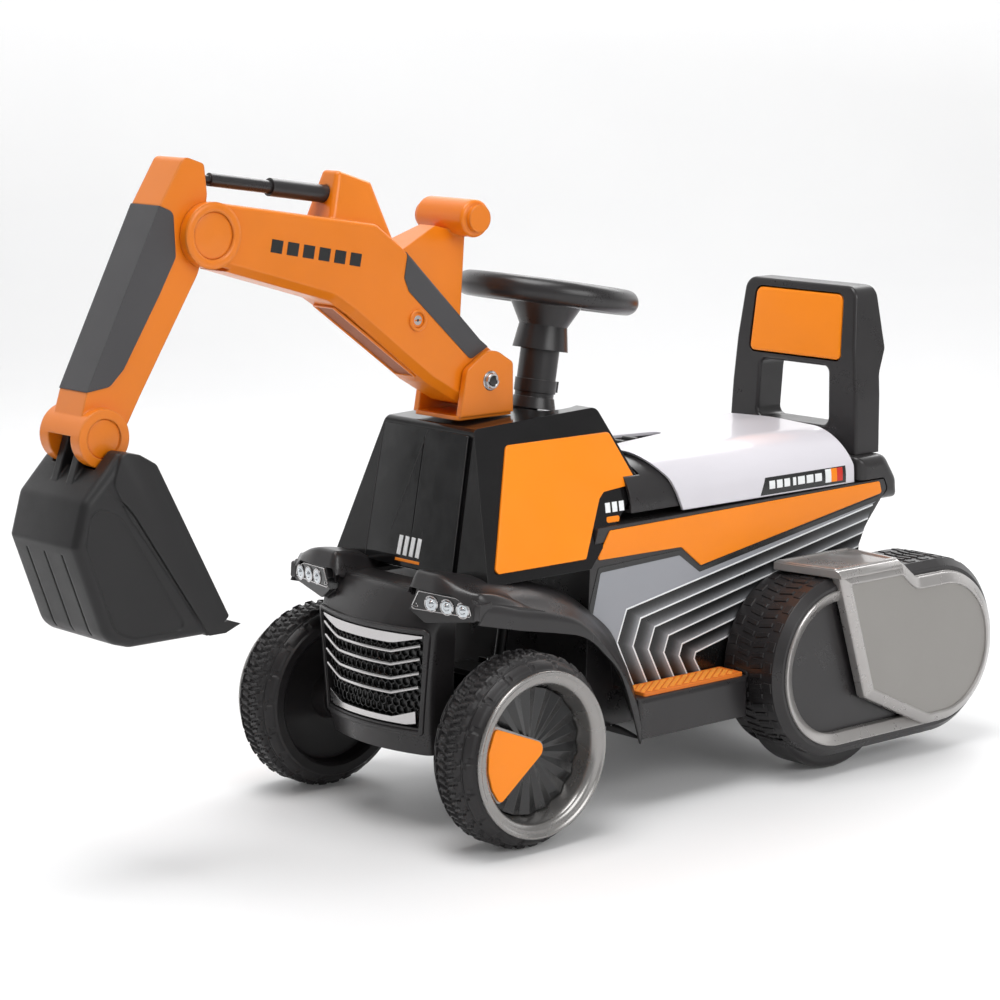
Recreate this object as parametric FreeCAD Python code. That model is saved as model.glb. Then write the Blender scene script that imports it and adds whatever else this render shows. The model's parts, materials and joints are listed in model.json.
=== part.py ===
"""Ride-on toy excavator: every moulding, shaft and wheel as its own solid.

Millimetres. +Z is up, the machine faces -Y, and +X is its left-hand side.
The origin is on the floor, under the middle of the whole machine.
Inside this script y = 0 is the front axle; export moves everything by AXLE_Y.
"""
import FreeCAD, Part
import math
import os

Vector = FreeCAD.Vector

# ---- Driving dimensions ----
AXLE_Y = -125.7          # front axle in the finished frame
WALL = 3.5               # moulded wall
WHEEL_R = 100.0          # front wheel
WHEEL_IN = 131.0         # inner face of a front tyre
WHEEL_OUT = 194.0        # outer face of a front tyre
KINGPIN_X = 112.0
KINGPIN_R = 6.0
STUB_R = 5.0
ARM = 45.0               # steering crank and knuckle arm length
RUN = 0.05               # radial clearance of a running fit
REAR_Y = 465.0           # rear axle
REAR_Z = 98.0
REAR_R = 98.0
AXLE_R = 6.0
POD_FRONT = 443.0        # centres of the two round ends of a track pod
POD_BACK = 608.0
POD_Z = 122.0
POD_R = 100.0
POD_IN = 115.2
POD_OUT = 195.0
WELL_R = 102.5           # space round a rear wheel
COVER_IN = 198.3         # inner and outer faces of a pod cover's side panel
COVER_OUT = 206.0
COLUMN_FOOT = (162.0, 413.0)
COLUMN_LEAN = 10.0       # degrees from vertical, towards the rider
SHAFT_R = 6.0
STEER_R = 98.0           # steering wheel
SWING_Y = 65.0           # vertical pivot of the boom base
ROOT_PIN = (70.0, 457.0)
ELBOW_PIN = (-277.0, 626.0)
BUCKET_PIN = (-406.0, 443.0)
STRUT_FRONT = (-271.0, 679.0)
STRUT_BACK = (-98.0, 654.2)
SEAT_HINGE = (552.0, 345.0)
CAB_TOP_HALF = 70.5      # half width of the cab roof
CAB_TAPER = 0.358        # widening of the cab per millimetre down
CAB_TOP_Z = 414.0

nodes = {}


# ---- Shape helpers ----
def rounded_wire(corners, place):
    """Closed wire through (a, b[, radius]) corners, put in space by place(a, b)."""
    points = [Vector(c[0], c[1], 0) for c in corners]
    radii = [c[2] if len(c) > 2 else 0 for c in corners]
    count = len(points)
    bends = []
    for i in range(count):
        here = points[i]
        before = (points[i - 1] - here).normalize()
        after = (points[(i + 1) % count] - here).normalize()
        if radii[i] == 0:
            bends.append((here, None, here))
            continue
        half = before.getAngle(after) / 2
        reach = radii[i] / math.tan(half)
        middle = (before + after).normalize() * (radii[i] / math.sin(half) - radii[i])
        bends.append((here + before * reach, here + middle, here + after * reach))
    edges = []
    for i, (start, middle, end) in enumerate(bends):
        if middle is not None:
            arc = Part.Arc(place(start.x, start.y), place(middle.x, middle.y), place(end.x, end.y))
            edges.append(arc.toShape())
        following = bends[(i + 1) % count][0]
        if end.distanceToPoint(following) > 0.001:
            edges.append(Part.makeLine(place(end.x, end.y), place(following.x, following.y)))
    return Part.Wire(edges)


def side_plate(corners, x_low, x_high):
    """Solid with a (y, z) outline between two x values."""
    wire = rounded_wire(corners, lambda y, z: Vector(x_low, y, z))
    return Part.Face(wire).extrude(Vector(x_high - x_low, 0, 0))


def plan_plate(corners, z_low, z_high):
    """Solid with an (x, y) outline between two z values."""
    wire = rounded_wire(corners, lambda x, y: Vector(x, y, z_low))
    return Part.Face(wire).extrude(Vector(0, 0, z_high - z_low))


def front_plate(corners, y_low, y_high):
    """Solid with an (x, z) outline between two y values."""
    wire = rounded_wire(corners, lambda x, z: Vector(x, y_low, z))
    return Part.Face(wire).extrude(Vector(0, y_high - y_low, 0))


def box(x, y, z):
    """Box between three (low, high) pairs."""
    return Part.makeBox(x[1] - x[0], y[1] - y[0], z[1] - z[0], Vector(x[0], y[0], z[0]))


def rod(start, end, radius):
    """Round bar between two points."""
    run = Vector(*end) - Vector(*start)
    return Part.makeCylinder(radius, run.Length, Vector(*start), run)


def cross_rod(centre, x_low, x_high, radius):
    """Round bar along x at a (y, z) place."""
    return rod((x_low, *centre), (x_high, *centre), radius)


def lathe(profile, centre):
    """Solid turned round an x axis through (y, z); the profile is (x, radius[, corner])."""
    wire = rounded_wire(profile, lambda x, r: Vector(x, centre[0], centre[1] + r))
    return Part.Face(wire).revolve(Vector(0, *centre), Vector(1, 0, 0), 360)


def mirrored(shape):
    """The same piece on the other side."""
    return shape.mirror(Vector(0, 0, 0), Vector(1, 0, 0))


def pair(shape):
    """A left piece together with its right twin."""
    return Part.makeCompound([shape, mirrored(shape)])


def join(*shapes):
    """One solid from several that touch."""
    return shapes[0].multiFuse(list(shapes[1:])).removeSplitter()


def inset(corners, distance):
    """An outline moved inwards by a distance; its corners run anticlockwise."""
    count = len(corners)
    moved = []
    for i in range(count):
        here = Vector(corners[i][0], corners[i][1], 0)
        before = (here - Vector(corners[i - 1][0], corners[i - 1][1], 0)).normalize()
        after = Vector(corners[(i + 1) % count][0], corners[(i + 1) % count][1], 0) - here
        after.normalize()
        first = Vector(-before.y, before.x, 0)
        second = Vector(-after.y, after.x, 0)
        step = (first + second) * (distance / (1 + first.dot(second)))
        radius = corners[i][2] if len(corners[i]) > 2 else 0
        if radius:
            radius = max(radius - distance, 0)
        moved.append((here.x + step.x, here.y + step.y, radius))
    return moved


def level(edge, axis, value):
    """True if an edge lies wholly at one value of x, y or z."""
    return all(abs(getattr(v.Point, axis) - value) < 0.01 for v in edge.Vertexes)


def soften(shape, radius, chosen):
    """Round the edges that the test picks."""
    return shape.makeFillet(radius, [edge for edge in shape.Edges if chosen(edge)])


def along_column(shape):
    """Stand a shape built along +Z on the leaning steering column's foot."""
    placed = shape.copy()
    placed.rotate(Vector(0, 0, 0), Vector(1, 0, 0), -COLUMN_LEAN)
    placed.translate(Vector(0, *COLUMN_FOOT))
    return placed


# ---- Underframe and running gear ----
def column_y(z):
    """The steering axis' y at a height."""
    return COLUMN_FOOT[0] + (z - COLUMN_FOOT[1]) * math.tan(math.radians(COLUMN_LEAN))


def make_chassis():
    floor = [(-70, -34), (70, -34), (70, 128), (103, 146), (103, 550), (-103, 550), (-103, 146),
             (-70, 128)]
    frame = plan_plate(floor, 84, 90)
    beam = box((-72, 72), (-24, 24), (78, 124)).cut(box((-66, 66), (-18, 18), (70, 118)))
    frame = frame.fuse(beam)
    for side in (-1, 1):
        for low in (78, 118):
            arm = box((66, KINGPIN_X), (-13, 13), (low, low + 6))
            arm = arm.fuse(rod((KINGPIN_X, 0, low), (KINGPIN_X, 0, low + 6), 13))
            frame = frame.fuse(arm if side > 0 else mirrored(arm))
        leg = box((58, 66), (92, 128), (89, 134))
        frame = frame.fuse(leg if side > 0 else mirrored(leg))
        lug = side_plate([(445, 85), (485, 85), (480, 114, 8), (450, 114, 8)], 88, 97)
        frame = frame.fuse(lug if side > 0 else mirrored(lug))
    frame = frame.fuse(box((-66, 66), (92, 128), (128, 134)))
    boss_low = (128 - COLUMN_FOOT[1]) / math.cos(math.radians(COLUMN_LEAN))
    frame = frame.fuse(along_column(rod((0, 0, boss_low), (0, 0, boss_low + 20), 13)))
    frame = frame.cut(along_column(rod((0, 0, -400), (0, 0, -200), SHAFT_R + RUN)))
    for side in (-1, 1):
        hole = rod((side * KINGPIN_X, 0, 70), (side * KINGPIN_X, 0, 130), KINGPIN_R + RUN)
        frame = frame.cut(hole)
    frame = frame.cut(cross_rod((REAR_Y, REAR_Z), -120, 120, AXLE_R + RUN))
    nodes["chassis_frame"] = frame.removeSplitter()
    nodes["rear_axle"] = cross_rod((REAR_Y, REAR_Z), -174, 174, AXLE_R)


def make_drive():
    nodes["battery"] = soften(box((-35, 35), (325, 425), (90, 145)), 3, lambda e: True)
    gearbox = box((-84, -34), (440, 500), (90, 150))
    gearbox = soften(gearbox, 5, lambda e: level(e, "x", -84) or level(e, "x", -34))
    motor = cross_rod((520, 128), -80, -30, 16)
    neck = box((-84, -66), (490, 530), (116, 140))
    gearbox = join(gearbox, neck, motor)
    nodes["gearbox_motor"] = gearbox.cut(cross_rod((REAR_Y, REAR_Z), -120, 0, AXLE_R + 0.4))


def make_knuckle():
    trunnion = rod((KINGPIN_X, 0, 77), (KINGPIN_X, 0, 125), KINGPIN_R)
    block = rod((KINGPIN_X, 0, 84.4), (KINGPIN_X, 0, 117.6), 11)
    stub = cross_rod((0, WHEEL_R), KINGPIN_X, 184, STUB_R)
    shoulder = cross_rod((0, WHEEL_R), KINGPIN_X, 128, 10)
    arm = plan_plate([(104, 0), (120, 0), (119, ARM + 7, 6), (105, ARM + 7, 6)], 103, 109)
    peg = rod((KINGPIN_X, ARM, 93), (KINGPIN_X, ARM, 105), 4)
    knuckle = join(block, trunnion, shoulder, stub, arm, peg)
    nodes["knuckle_left"] = knuckle
    nodes["knuckle_right"] = mirrored(knuckle)


def make_steering():
    lean = math.radians(COLUMN_LEAN)
    low = (113 - COLUMN_FOOT[1]) / math.cos(lean)
    shaft = rod((0, 0, low), (0, 0, 112), SHAFT_R)
    collar = rod((0, 0, low), (0, 0, low + 8), 11)
    crank = plan_plate([(-11, 0), (11, 0), (7, ARM + 6, 5), (-7, ARM + 6, 5)], low, low + 5)
    peg = rod((0, ARM, low - 13.4), (0, ARM, low + 2), 4)
    crank = crank.fuse(collar).fuse(peg)
    nodes["steering_shaft"] = along_column(crank.fuse(shaft))

    crank_y = column_y(113) + ARM * math.cos(lean)
    bar = plan_plate([(-126, 31, 6), (126, 31, 6), (126, 57, 6), (14, 57, 6), (14, crank_y + 14, 6),
                      (-14, crank_y + 14, 6), (-14, 57, 6), (-126, 57, 6)], 95.5, 100.5)
    slots = [(KINGPIN_X, ARM), (-KINGPIN_X, ARM), (0, crank_y)]
    for x, y in slots:
        play = 1.6 if x == 0 else 0.0
        slot = [(x - 4.5, y - 10 - play, 4.4), (x + 4.5, y - 10 - play, 4.4), (x + 4.5, y + 5 + play, 4.4),
                (x - 4.5, y + 5 + play, 4.4)]
        bar = bar.cut(plan_plate(slot, 90, 110))
    nodes["steering_link"] = bar

    sleeve = rod((0, 0, 4), (0, 0, 66), 21).fuse(Part.makeCone(25, 22, 12, Vector(0, 0, 3)))
    sleeve = join(sleeve, rod((0, 0, 20), (0, 0, 34), 22.5))
    sleeve = sleeve.cut(rod((0, 0, 0), (0, 0, 70), SHAFT_R + 0.02))
    clip = box((-7, 7), (20, 27), (22, 34))
    sleeve = sleeve.fuse(clip).cut(box((-3, 3), (17, 24), (40, 60)))
    nodes["steering_column"] = along_column(sleeve.removeSplitter())

    rim = Part.makeTorus(STEER_R - 13.5, 13.5, Vector(0, 0, 127))
    hub = Part.makeCone(30, 26, 26, Vector(0, 0, 66))
    flare = Part.makeCone(26, 40, 26, Vector(0, 0, 92))
    top = rod((0, 0, 118), (0, 0, 126), 40)
    wheel = join(hub, flare, top)
    for turn in (90, 210, 330):
        spoke = plan_plate([(24, -17, 4), (STEER_R - 16, -12, 4), (STEER_R - 16, 12, 4), (24, 17, 4)],
                           116, 127)
        spoke.rotate(Vector(0, 0, 0), Vector(0, 0, 1), turn)
        wheel = wheel.fuse(spoke)
    wheel = wheel.fuse(rim).removeSplitter()
    wheel = wheel.cut(rod((0, 0, 60), (0, 0, 112.5), SHAFT_R + 0.02))
    wheel = wheel.cut(rod((0, 0, 117), (0, 0, 140), 16 + RUN))
    nodes["steering_wheel"] = along_column(wheel)
    button = soften(rod((0, 0, 120.6), (0, 0, 130), 16), 2, lambda e: level(e, "z", 130))
    nodes["horn_button"] = along_column(button)


def make_front_wheel():
    centre = (0, WHEEL_R)
    tyre = lathe([(WHEEL_IN, 74), (WHEEL_OUT, 74), (WHEEL_OUT, 96, 4), (184, WHEEL_R, 20),
                  (142, WHEEL_R, 14), (WHEEL_IN, 92, 6)], centre)
    web = lathe([(150, 14), (155, 14), (155, 75), (150, 75)], centre)
    hub = lathe([(131, STUB_R + RUN), (171, STUB_R + RUN), (171, 15), (131, 15)], centre)
    tyre = join(tyre, web, hub)
    groove_count = 36
    for i in range(groove_count):
        groove = box((126, 141), (-3, 3), (94.5, 110))
        groove = groove.fuse(box((176, 197), (-3, 3), (94.5, 110)))
        groove.rotate(Vector(0, 0, 0), Vector(1, 0, 0), i * 360 / groove_count)
        groove.translate(Vector(0, 0, WHEEL_R))
        tyre = tyre.cut(groove)
    nodes["front_tyre_left"] = tyre

    ring = lathe([(WHEEL_OUT + 0.2, 73.6), (WHEEL_OUT + 0.2, 85), (197.5, 85.6), (199, 83), (198, 79),
                  (194.8, 71.8), (185, 69.6), (174, 66.4), (172, 66.4), (172, 73.6)], centre)
    nodes["front_rim_left"] = ring

    fan = lathe([(171.2, 8), (171.2, 65.6), (175, 65.6), (175, 8)], centre)
    for i in range(24):
        blade = side_plate([(-1.2, 12), (1.2, 12), (4, 64), (-4, 64)], 174.5, 178)
        blade.rotate(Vector(0, 0, 0), Vector(1, 0, 0), i * 15)
        blade.translate(Vector(0, 0, WHEEL_R))
        fan = fan.fuse(blade)
    nodes["wheel_fan_left"] = fan.removeSplitter()

    tips = []
    for angle in (153, 170, 187, 204, 221):
        turn = math.radians(angle)
        tips.append((66 * math.cos(turn), WHEEL_R + 66 * math.sin(turn), 6 if angle in (153, 221) else 40))
    sector = side_plate([(4, WHEEL_R + 2, 6)] + tips, 184.5, 189.5)
    post = cross_rod((-26, WHEEL_R - 1), 178.2, 185, 8)
    nodes["wheel_badge_left"] = join(sector, post)
    for name in ("front_tyre", "front_rim", "wheel_fan", "wheel_badge"):
        nodes[name + "_right"] = mirrored(nodes[name + "_left"])


def make_rear_wheel():
    centre = (REAR_Y, REAR_Z)
    wheel = lathe([(119.5, 80), (119.5, 94, 6), (124, REAR_R, 5), (166, REAR_R, 5), (171, 94, 6),
                   (171, 80), (150, 76), (150, 20), (171, 20), (171, AXLE_R + RUN),
                   (119.5, AXLE_R + RUN), (119.5, 20), (142, 20), (142, 76)], centre)
    nodes["rear_wheel_left"] = wheel
    nodes["rear_wheel_right"] = mirrored(wheel)


# ---- Body ----
BODY_SIDE = [(140, 84, 6), (552, 84, 8), (556, 238, 20), (603, 294, 4), (597, 306, 4), (150, 302, 4),
             (140, 262, 4)]


def body_half(z):
    """Half width of the body shell at a height."""
    return 107.5 + 0.046 * (z - 84)


def body_block(distance):
    """The body's outer form, moved inwards by a distance."""
    section = [(-body_half(70) + distance, 70), (body_half(70) - distance, 70),
               (body_half(320) - distance, 320), (-body_half(320) + distance, 320)]
    return side_plate(inset(BODY_SIDE, distance), -130, 130).common(front_plate(section, 100, 650))


def make_body():
    outer = body_block(0)
    shell = outer.cut(body_block(WALL))
    shell = shell.cut(box((-103.6, 103.6), (139, 552), (80, 92)))
    shell = shell.cut(box((-62, 62), (130, 150), (80, 136)))
    shell = shell.cut(box((-86, 86), (300, 520), (290, 320)))
    shell = shell.cut(cross_rod((REAR_Y, REAR_Z), -130, 130, AXLE_R + 3))
    shell = shell.cut(cab_block(-0.2)).cut(along_column(rod((0, 0, -330), (0, 0, -90), SHAFT_R + 2)))
    nodes["body_shell"] = max(shell.Solids, key=lambda s: s.Volume)

    band = [(166, 298, 3), (148, 268, 3), (273, 267, 3), (304, 243, 3), (594, 290, 3), (589, 304, 3)]
    decal = [(141, 220), (141, 200), (172, 176, 2), (180, 124, 2), (560, 124), (560, 241), (594, 288, 2),
             (304, 241, 3), (273, 264, 3), (152, 260, 3)]
    lean = (body_half(320) - body_half(70)) / 250
    skin = []
    for thickness in (1.6, 0.6):
        section = [(body_half(70), 70), (body_half(70) + thickness, 70),
                   (body_half(70) + 250 * lean + thickness, 320), (body_half(320), 320)]
        skin.append(front_plate(section, 100, 650))
    nodes["side_trims"] = pair(side_plate(band, 100, 130).common(skin[0]).cut(cab_block(-0.2)))
    nodes["side_decals"] = pair(side_plate(decal, 100, 130).common(skin[1]).cut(cab_block(-0.2)))


def seat_section(distance):
    """Saddle cross-section (x, z), moved inwards by a distance."""
    return inset([(114, 306.4), (112, 366, 52), (0, 371, 300), (-112, 366, 52), (-114, 306.4)],
                 distance)


def make_seat():
    profile = [(281, 300, 2), (551, 300, 2), (551, 327, 6), (532, 376, 6), (234, 376, 2), (264, 341, 20)]
    block = front_plate(seat_section(0), 220, 560).common(side_plate(profile, -130, 130))
    hollow = front_plate(seat_section(WALL), 200, 540)
    hollow = hollow.fuse(box((-110.4, 110.4), (200, 540), (300, 310)))
    inner = [(200, 300), (546, 300), (546, 325), (529, 380), (200, 380)]
    lid = block.cut(hollow.common(side_plate(inner, -130, 130)))
    notch = plan_plate([(-34, 220), (34, 220), (0, 384, 8)], 340, 380)
    lid = lid.cut(notch)
    for side in (-1, 1):
        x_low, x_high = sorted((side * 30, side * 50))
        tab = side_plate([(536, 338), (552, 340), (552, 350), (536, 352)], x_low, x_high)
        barrel = cross_rod(SEAT_HINGE, x_low, x_high, 6)
        pin = cross_rod(SEAT_HINGE, *sorted((side * 24.5, side * 55.5)), 4)
        lid = lid.fuse(tab).fuse(barrel).fuse(pin)
    nodes["seat_lid"] = lid.removeSplitter()

    under = seat_section(WALL + 0.8)
    arch = front_plate(under, 205, 318).cut(front_plate(inset(under, WALL), 200, 330))
    arch = arch.common(box((-130, 130), (190, 330), (307, 400)))
    arch = arch.cut(box((-120, 120), (190, 330), (300, 306.5)))
    nodes["seat_front_arch"] = arch.cut(cab_block(-2.8))


def make_rear_end():
    cap = side_plate([(557, 281), (557, 334, 4), (604, 334, 16), (624, 305, 20), (626, 281, 3)][::-1],
                     -117.5, 117.5)
    cap = soften(cap, 12, lambda e: (level(e, "x", 117.5) or level(e, "x", -117.5))
                 and e.BoundBox.ZMax > 300 and e.BoundBox.YMax > 570)
    cap = cap.cut(body_block(-1.7))
    cap = cap.cut(box((-113, 113), (561, 590), (270, 330)))
    for side in (-1, 1):
        for low in (23.5, 50.4):
            lug = side_plate([(552, 339, 0), (562, 325), (562, 351, 4), (552, 351, 0)],
                             *sorted((side * low, side * (low + 6.1))))
            lug = lug.fuse(cross_rod(SEAT_HINGE, *sorted((side * low, side * (low + 6.1))), 6.5))
            foot = box(sorted((side * low, side * (low + 6.1))), (557, 562), (320, 340))
            cap = cap.fuse(lug).fuse(foot)
        cap = cap.cut(cross_rod(SEAT_HINGE, *sorted((side * 24, side * 56)), 4 + RUN))
    nodes["rear_end_cap"] = cap.removeSplitter()

    side = [(567, 334.2), (606, 334.2), (610, 424, 30), (622, 452, 10), (612, 525, 6), (579, 525, 6),
            (571, 454, 60)]
    face = [(-101, 334.2), (101, 334.2), (98, 400, 100), (86, 525, 16), (-86, 525, 16), (-98, 400, 100)]
    frame = side_plate(side, -110, 110).common(front_plate(face, 550, 640))
    opening = [(-56, 363, 10), (56, 363, 10), (53, 431, 8), (-53, 431, 8)]
    frame = frame.cut(front_plate(opening, 540, 650))
    frame = soften(frame, 4, lambda e: e.BoundBox.ZMin > 340 and e.BoundBox.YMin < 580
                   and e.BoundBox.YMax < 582 and e.BoundBox.ZLength > 20)
    lean_low, lean_high = 578.0, 589.0
    pocket = side_plate([(550, 437), (lean_low + 5.2, 437), (lean_high + 5.6, 517), (550, 517)], -73, 73)
    outline = front_plate([(-73, 438, 8), (73, 438, 8), (69, 516, 10), (-69, 516, 10)], 540, 640)
    frame = frame.cut(pocket.common(outline))
    nodes["backrest_frame"] = frame
    pad_side = [(lean_low, 439), (lean_low + 4.8, 439), (lean_high + 4.8, 515), (lean_high, 515)]
    pad_face = front_plate([(-71.5, 439.5, 7), (71.5, 439.5, 7), (67.5, 514.5, 9), (-67.5, 514.5, 9)],
                           540, 640)
    nodes["backrest_pad"] = side_plate(pad_side, -80, 80).common(pad_face)


# ---- Cab ----
CAB_SIDE = [(-9.5, 262, 3), (133, 262, 6), (229, 341, 8), (192, 421.3, 10), (18, 414.3, 8)]


def cab_half(z):
    """Half width of the cab shell at a height."""
    return CAB_TOP_HALF + CAB_TAPER * (CAB_TOP_Z - z)


def cab_block(distance):
    """The cab's outer form, moved inwards by a distance."""
    section = [(-cab_half(250) + distance, 250), (cab_half(250) - distance, 250),
               (cab_half(425) - distance, 425), (-cab_half(425) + distance, 425)]
    return side_plate(inset(CAB_SIDE, distance), -140, 140).common(front_plate(section, -60, 300))


def make_cab():
    shell = cab_block(0).cut(cab_block(WALL))
    shell = shell.cut(box((-110, 110), (-2, 125), (255, 270)))
    shell = shell.cut(box((-86, 86), (120, 215), (255, 325)))
    recess = along_column(rod((0, 0, 1.5), (0, 0, 20), 49))
    cup = along_column(rod((0, 0, -4), (0, 0, 1.5), 51)).common(cab_block(1))
    wall = along_column(rod((0, 0, -4), (0, 0, 20), 51)).common(cab_block(0))
    shell = shell.fuse(cup).fuse(wall).cut(recess)
    shell = shell.cut(along_column(rod((0, 0, -20), (0, 0, 10), SHAFT_R + 1)))
    boss = rod((0, SWING_Y, 392), (0, SWING_Y, 414), 18)
    shell = shell.fuse(boss).cut(rod((0, SWING_Y, 380), (0, SWING_Y, 430), 12 + RUN))
    switch_hole = box((-46, -22), (150, 260), (366, 394))
    shell = shell.cut(switch_hole.common(side_plate([(180, 350), (260, 350), (260, 420), (180, 420)],
                                                    -50, -20)))
    nodes["cab_shell"] = shell.removeSplitter()

    layer = side_plate([(-12.3, 264), (-9.5, 264), (16.7, 409), (13.9, 409)], -140, 140)
    face = [(-70, 265, 4), (70, 265, 4), (67, 408, 4), (-67, 408, 4)]
    panel = layer.common(front_plate(face, -60, 60))
    seam = front_plate([(-0.6, 300), (0.6, 300), (0.6, 400), (-0.6, 400)], -60, 60)
    nodes["cab_front_panel"] = panel.cut(seam.common(layer.translated(Vector(0, -1.8, 0))))

    outline = [(2, 273, 4), (128, 273, 4), (165.5, 330, 5), (173.5, 336, 5), (224, 340, 7), (200, 395, 5),
               (55, 395, 7)]
    slab = front_plate([(cab_half(250), 250), (cab_half(250) + 2.5, 250), (cab_half(425) + 2.5, 425),
                        (cab_half(425), 425)], -60, 300)
    nodes["cab_side_panels"] = pair(side_plate(outline, 50, 140).common(slab))


def make_switch():
    centre = (-34, 210.5, 381)
    rocker = Part.makeCylinder(9, 20, Vector(-44, 0, -4), Vector(1, 0, 0))
    rocker = rocker.common(box((-44, -24), (-9, 9), (-6, 9)))
    rocker.rotate(Vector(0, 0, 0), Vector(1, 0, 0), -65)
    rocker.translate(Vector(0, centre[1], centre[2]))
    nodes["drive_switch"] = rocker


# ---- Bumper, grille and lamps ----
def bumper_section(z, half, side_y, middle_y):
    """Plan section of the nose block at a height, with a bowed front."""
    corner_a = Vector(-half, -24.5, z)
    corner_b = Vector(-half, side_y, z)
    corner_c = Vector(half, side_y, z)
    corner_d = Vector(half, -24.5, z)
    front = Part.Arc(corner_b, Vector(0, middle_y, z), corner_c).toShape()
    return Part.Wire([Part.makeLine(corner_a, corner_b), front, Part.makeLine(corner_c, corner_d),
                      Part.makeLine(corner_d, corner_a)])


def nose(distance):
    """The nose block's form, moved inwards by a distance."""
    stations = [(84, 80, -48, -64), (112, 86, -54, -72), (214, 92, -56, -76), (256, 96, -40, -50)]
    wires = []
    for z, half, side_y, middle_y in stations:
        wires.append(bumper_section(z, half - distance, side_y + distance, middle_y + distance))
    return Part.makeLoft(wires, True, True)


FENDER_TOP = [(-58, 259), (-20, 263), (20, 262), (58, 256), (97, 242), (137, 215), (173, 181), (186, 128)]
FENDER_CREASE = [(-56, 254), (-20, 250), (12, 241), (58, 231), (100, 214), (146, 168), (174, 122),
                 (183, 90)]
FENDER_LIP = [(-71, 238), (-30, 228), (13.5, 218), (60, 209), (97, 199), (125, 178), (152, 146),
              (178, 72)]


def fender_loft(stations):
    """Ruled solid through side outlines (x, upper points, lower points)."""
    wires = []
    for x, upper, lower in stations:
        points = [Vector(x, y, z) for y, z in upper]
        points += [Vector(x, y, z) for y, z in reversed(lower)]
        wires.append(Part.makePolygon(points + points[:1]))
    return Part.makeLoft(wires, True, True)


def lowered(points, drop):
    """Points moved towards the wheel by a distance."""
    moved = []
    for y, z in points:
        away = Vector(y, z - WHEEL_R, 0)
        away.normalize()
        moved.append((y - away.x * drop, z - away.y * drop))
    return moved


def make_bumper():
    block = nose(0).cut(nose(6))
    block = block.cut(box((-70, 70), (-40, -20), (80, 256)))
    window = [(-74, 114), (74, 114), (83, 213), (-83, 213)]
    block = block.cut(front_plate(window, -90, -30))
    brow = box((-100, 100), (-48, -12.8), (250.5, 256))
    block = block.fuse(brow)
    crest = lowered(FENDER_CREASE, 4)
    outer = fender_loft([(88, FENDER_TOP, FENDER_LIP), (118, FENDER_TOP, FENDER_LIP),
                         (150, FENDER_CREASE, FENDER_LIP), (154, crest, FENDER_LIP)])
    inner = fender_loft([(80, lowered(FENDER_TOP, 5), lowered(FENDER_LIP, 30)),
                         (116, lowered(FENDER_TOP, 5), lowered(FENDER_LIP, 30)),
                         (146, lowered(FENDER_CREASE, 5), lowered(FENDER_LIP, 30)),
                         (150, lowered(crest, 4), lowered(FENDER_LIP, 30))])
    fender = outer.cut(inner)
    front_wall = front_plate([(88, 228), (150, 236), (150, 252), (118, 258), (88, 258)], -62, -54)
    fender = fender.fuse(front_wall.common(outer))
    keep_out = cab_block(-0.2).fuse(body_block(-0.8))
    fender = fender.cut(keep_out)
    pod = side_plate([(-66, 236), (-46, 236), (-20, 262), (-22, 274), (-52, 276, 4), (-60, 258)], 66, 96)
    pod = pod.cut(keep_out)
    bumper = block.fuse(fender).fuse(mirrored(fender)).fuse(pod).fuse(mirrored(pod))
    bumper = bumper.cut(keep_out)

    lamp_turn = 12.0
    bezel_face = [(0, -9), (82, -9, 3), (78, 4, 4), (60, 11, 3), (12, 13, 3)]
    bezel = front_plate(bezel_face, -5, 7)
    lens_centres = [(29, 0), (49, -1), (69, -2)]
    lenses = []
    for x, z in lens_centres:
        seat = rod((x, -6, z), (x, 3, z), 8.6)
        bezel = bezel.cut(seat)
        lens = Part.makeSphere(14, Vector(x, 7.2, z)).common(rod((x, -7.5, z), (x, 2.9, z), 8.3))
        lenses.append(lens)
    placed = []
    for shape in [bezel] + lenses:
        copy = shape.copy()
        copy.rotate(Vector(0, 0, 0), Vector(0, 0, 1), lamp_turn)
        copy.translate(Vector(64, -59, 247))
        placed.append(copy)
    pocket = front_plate(bezel_face, -30, 7)
    pocket.rotate(Vector(0, 0, 0), Vector(0, 0, 1), lamp_turn)
    pocket.translate(Vector(64, -59, 247))
    bumper = bumper.cut(pocket).cut(mirrored(pocket))
    nodes["headlight_bezels"] = pair(placed[0])
    nodes["headlight_lenses"] = Part.makeCompound(placed[1:] + [mirrored(s) for s in placed[1:]])
    solids = sorted(bumper.removeSplitter().Solids, key=lambda s: -s.Volume)
    nodes["front_bumper"] = solids[0]

    mesh = nose(5).cut(nose(8)).common(front_plate(inset(window, 0.3), -90, -40))
    nodes["grille_mesh"] = mesh
    shelf = nose(-1).cut(nose(4.6))
    bars = []
    for z in (198, 184, 169, 154):
        half = 71 + (z - 114) * 0.09
        bent = [(-half, z + 1.7), (-half * 0.55, z - 8.3), (half * 0.55, z - 8.3), (half, z + 1.7),
                (half, z + 5), (half * 0.55, z - 5), (-half * 0.55, z - 5), (-half, z + 5)]
        bars.append(shelf.common(front_plate(bent, -90, -40)))
    top = [(-81, 211), (-81, 208), (-44, 200), (44, 200), (81, 208), (81, 211)]
    bottom = [(-74, 118), (-70, 130), (-42, 118), (42, 118), (70, 130), (74, 118), (70, 115.5),
              (-70, 115.5)]
    bars.append(shelf.common(front_plate(top, -90, -40)))
    bars.append(shelf.common(front_plate(bottom, -90, -40)))
    nodes["grille_bars"] = Part.makeCompound(bars)


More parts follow.
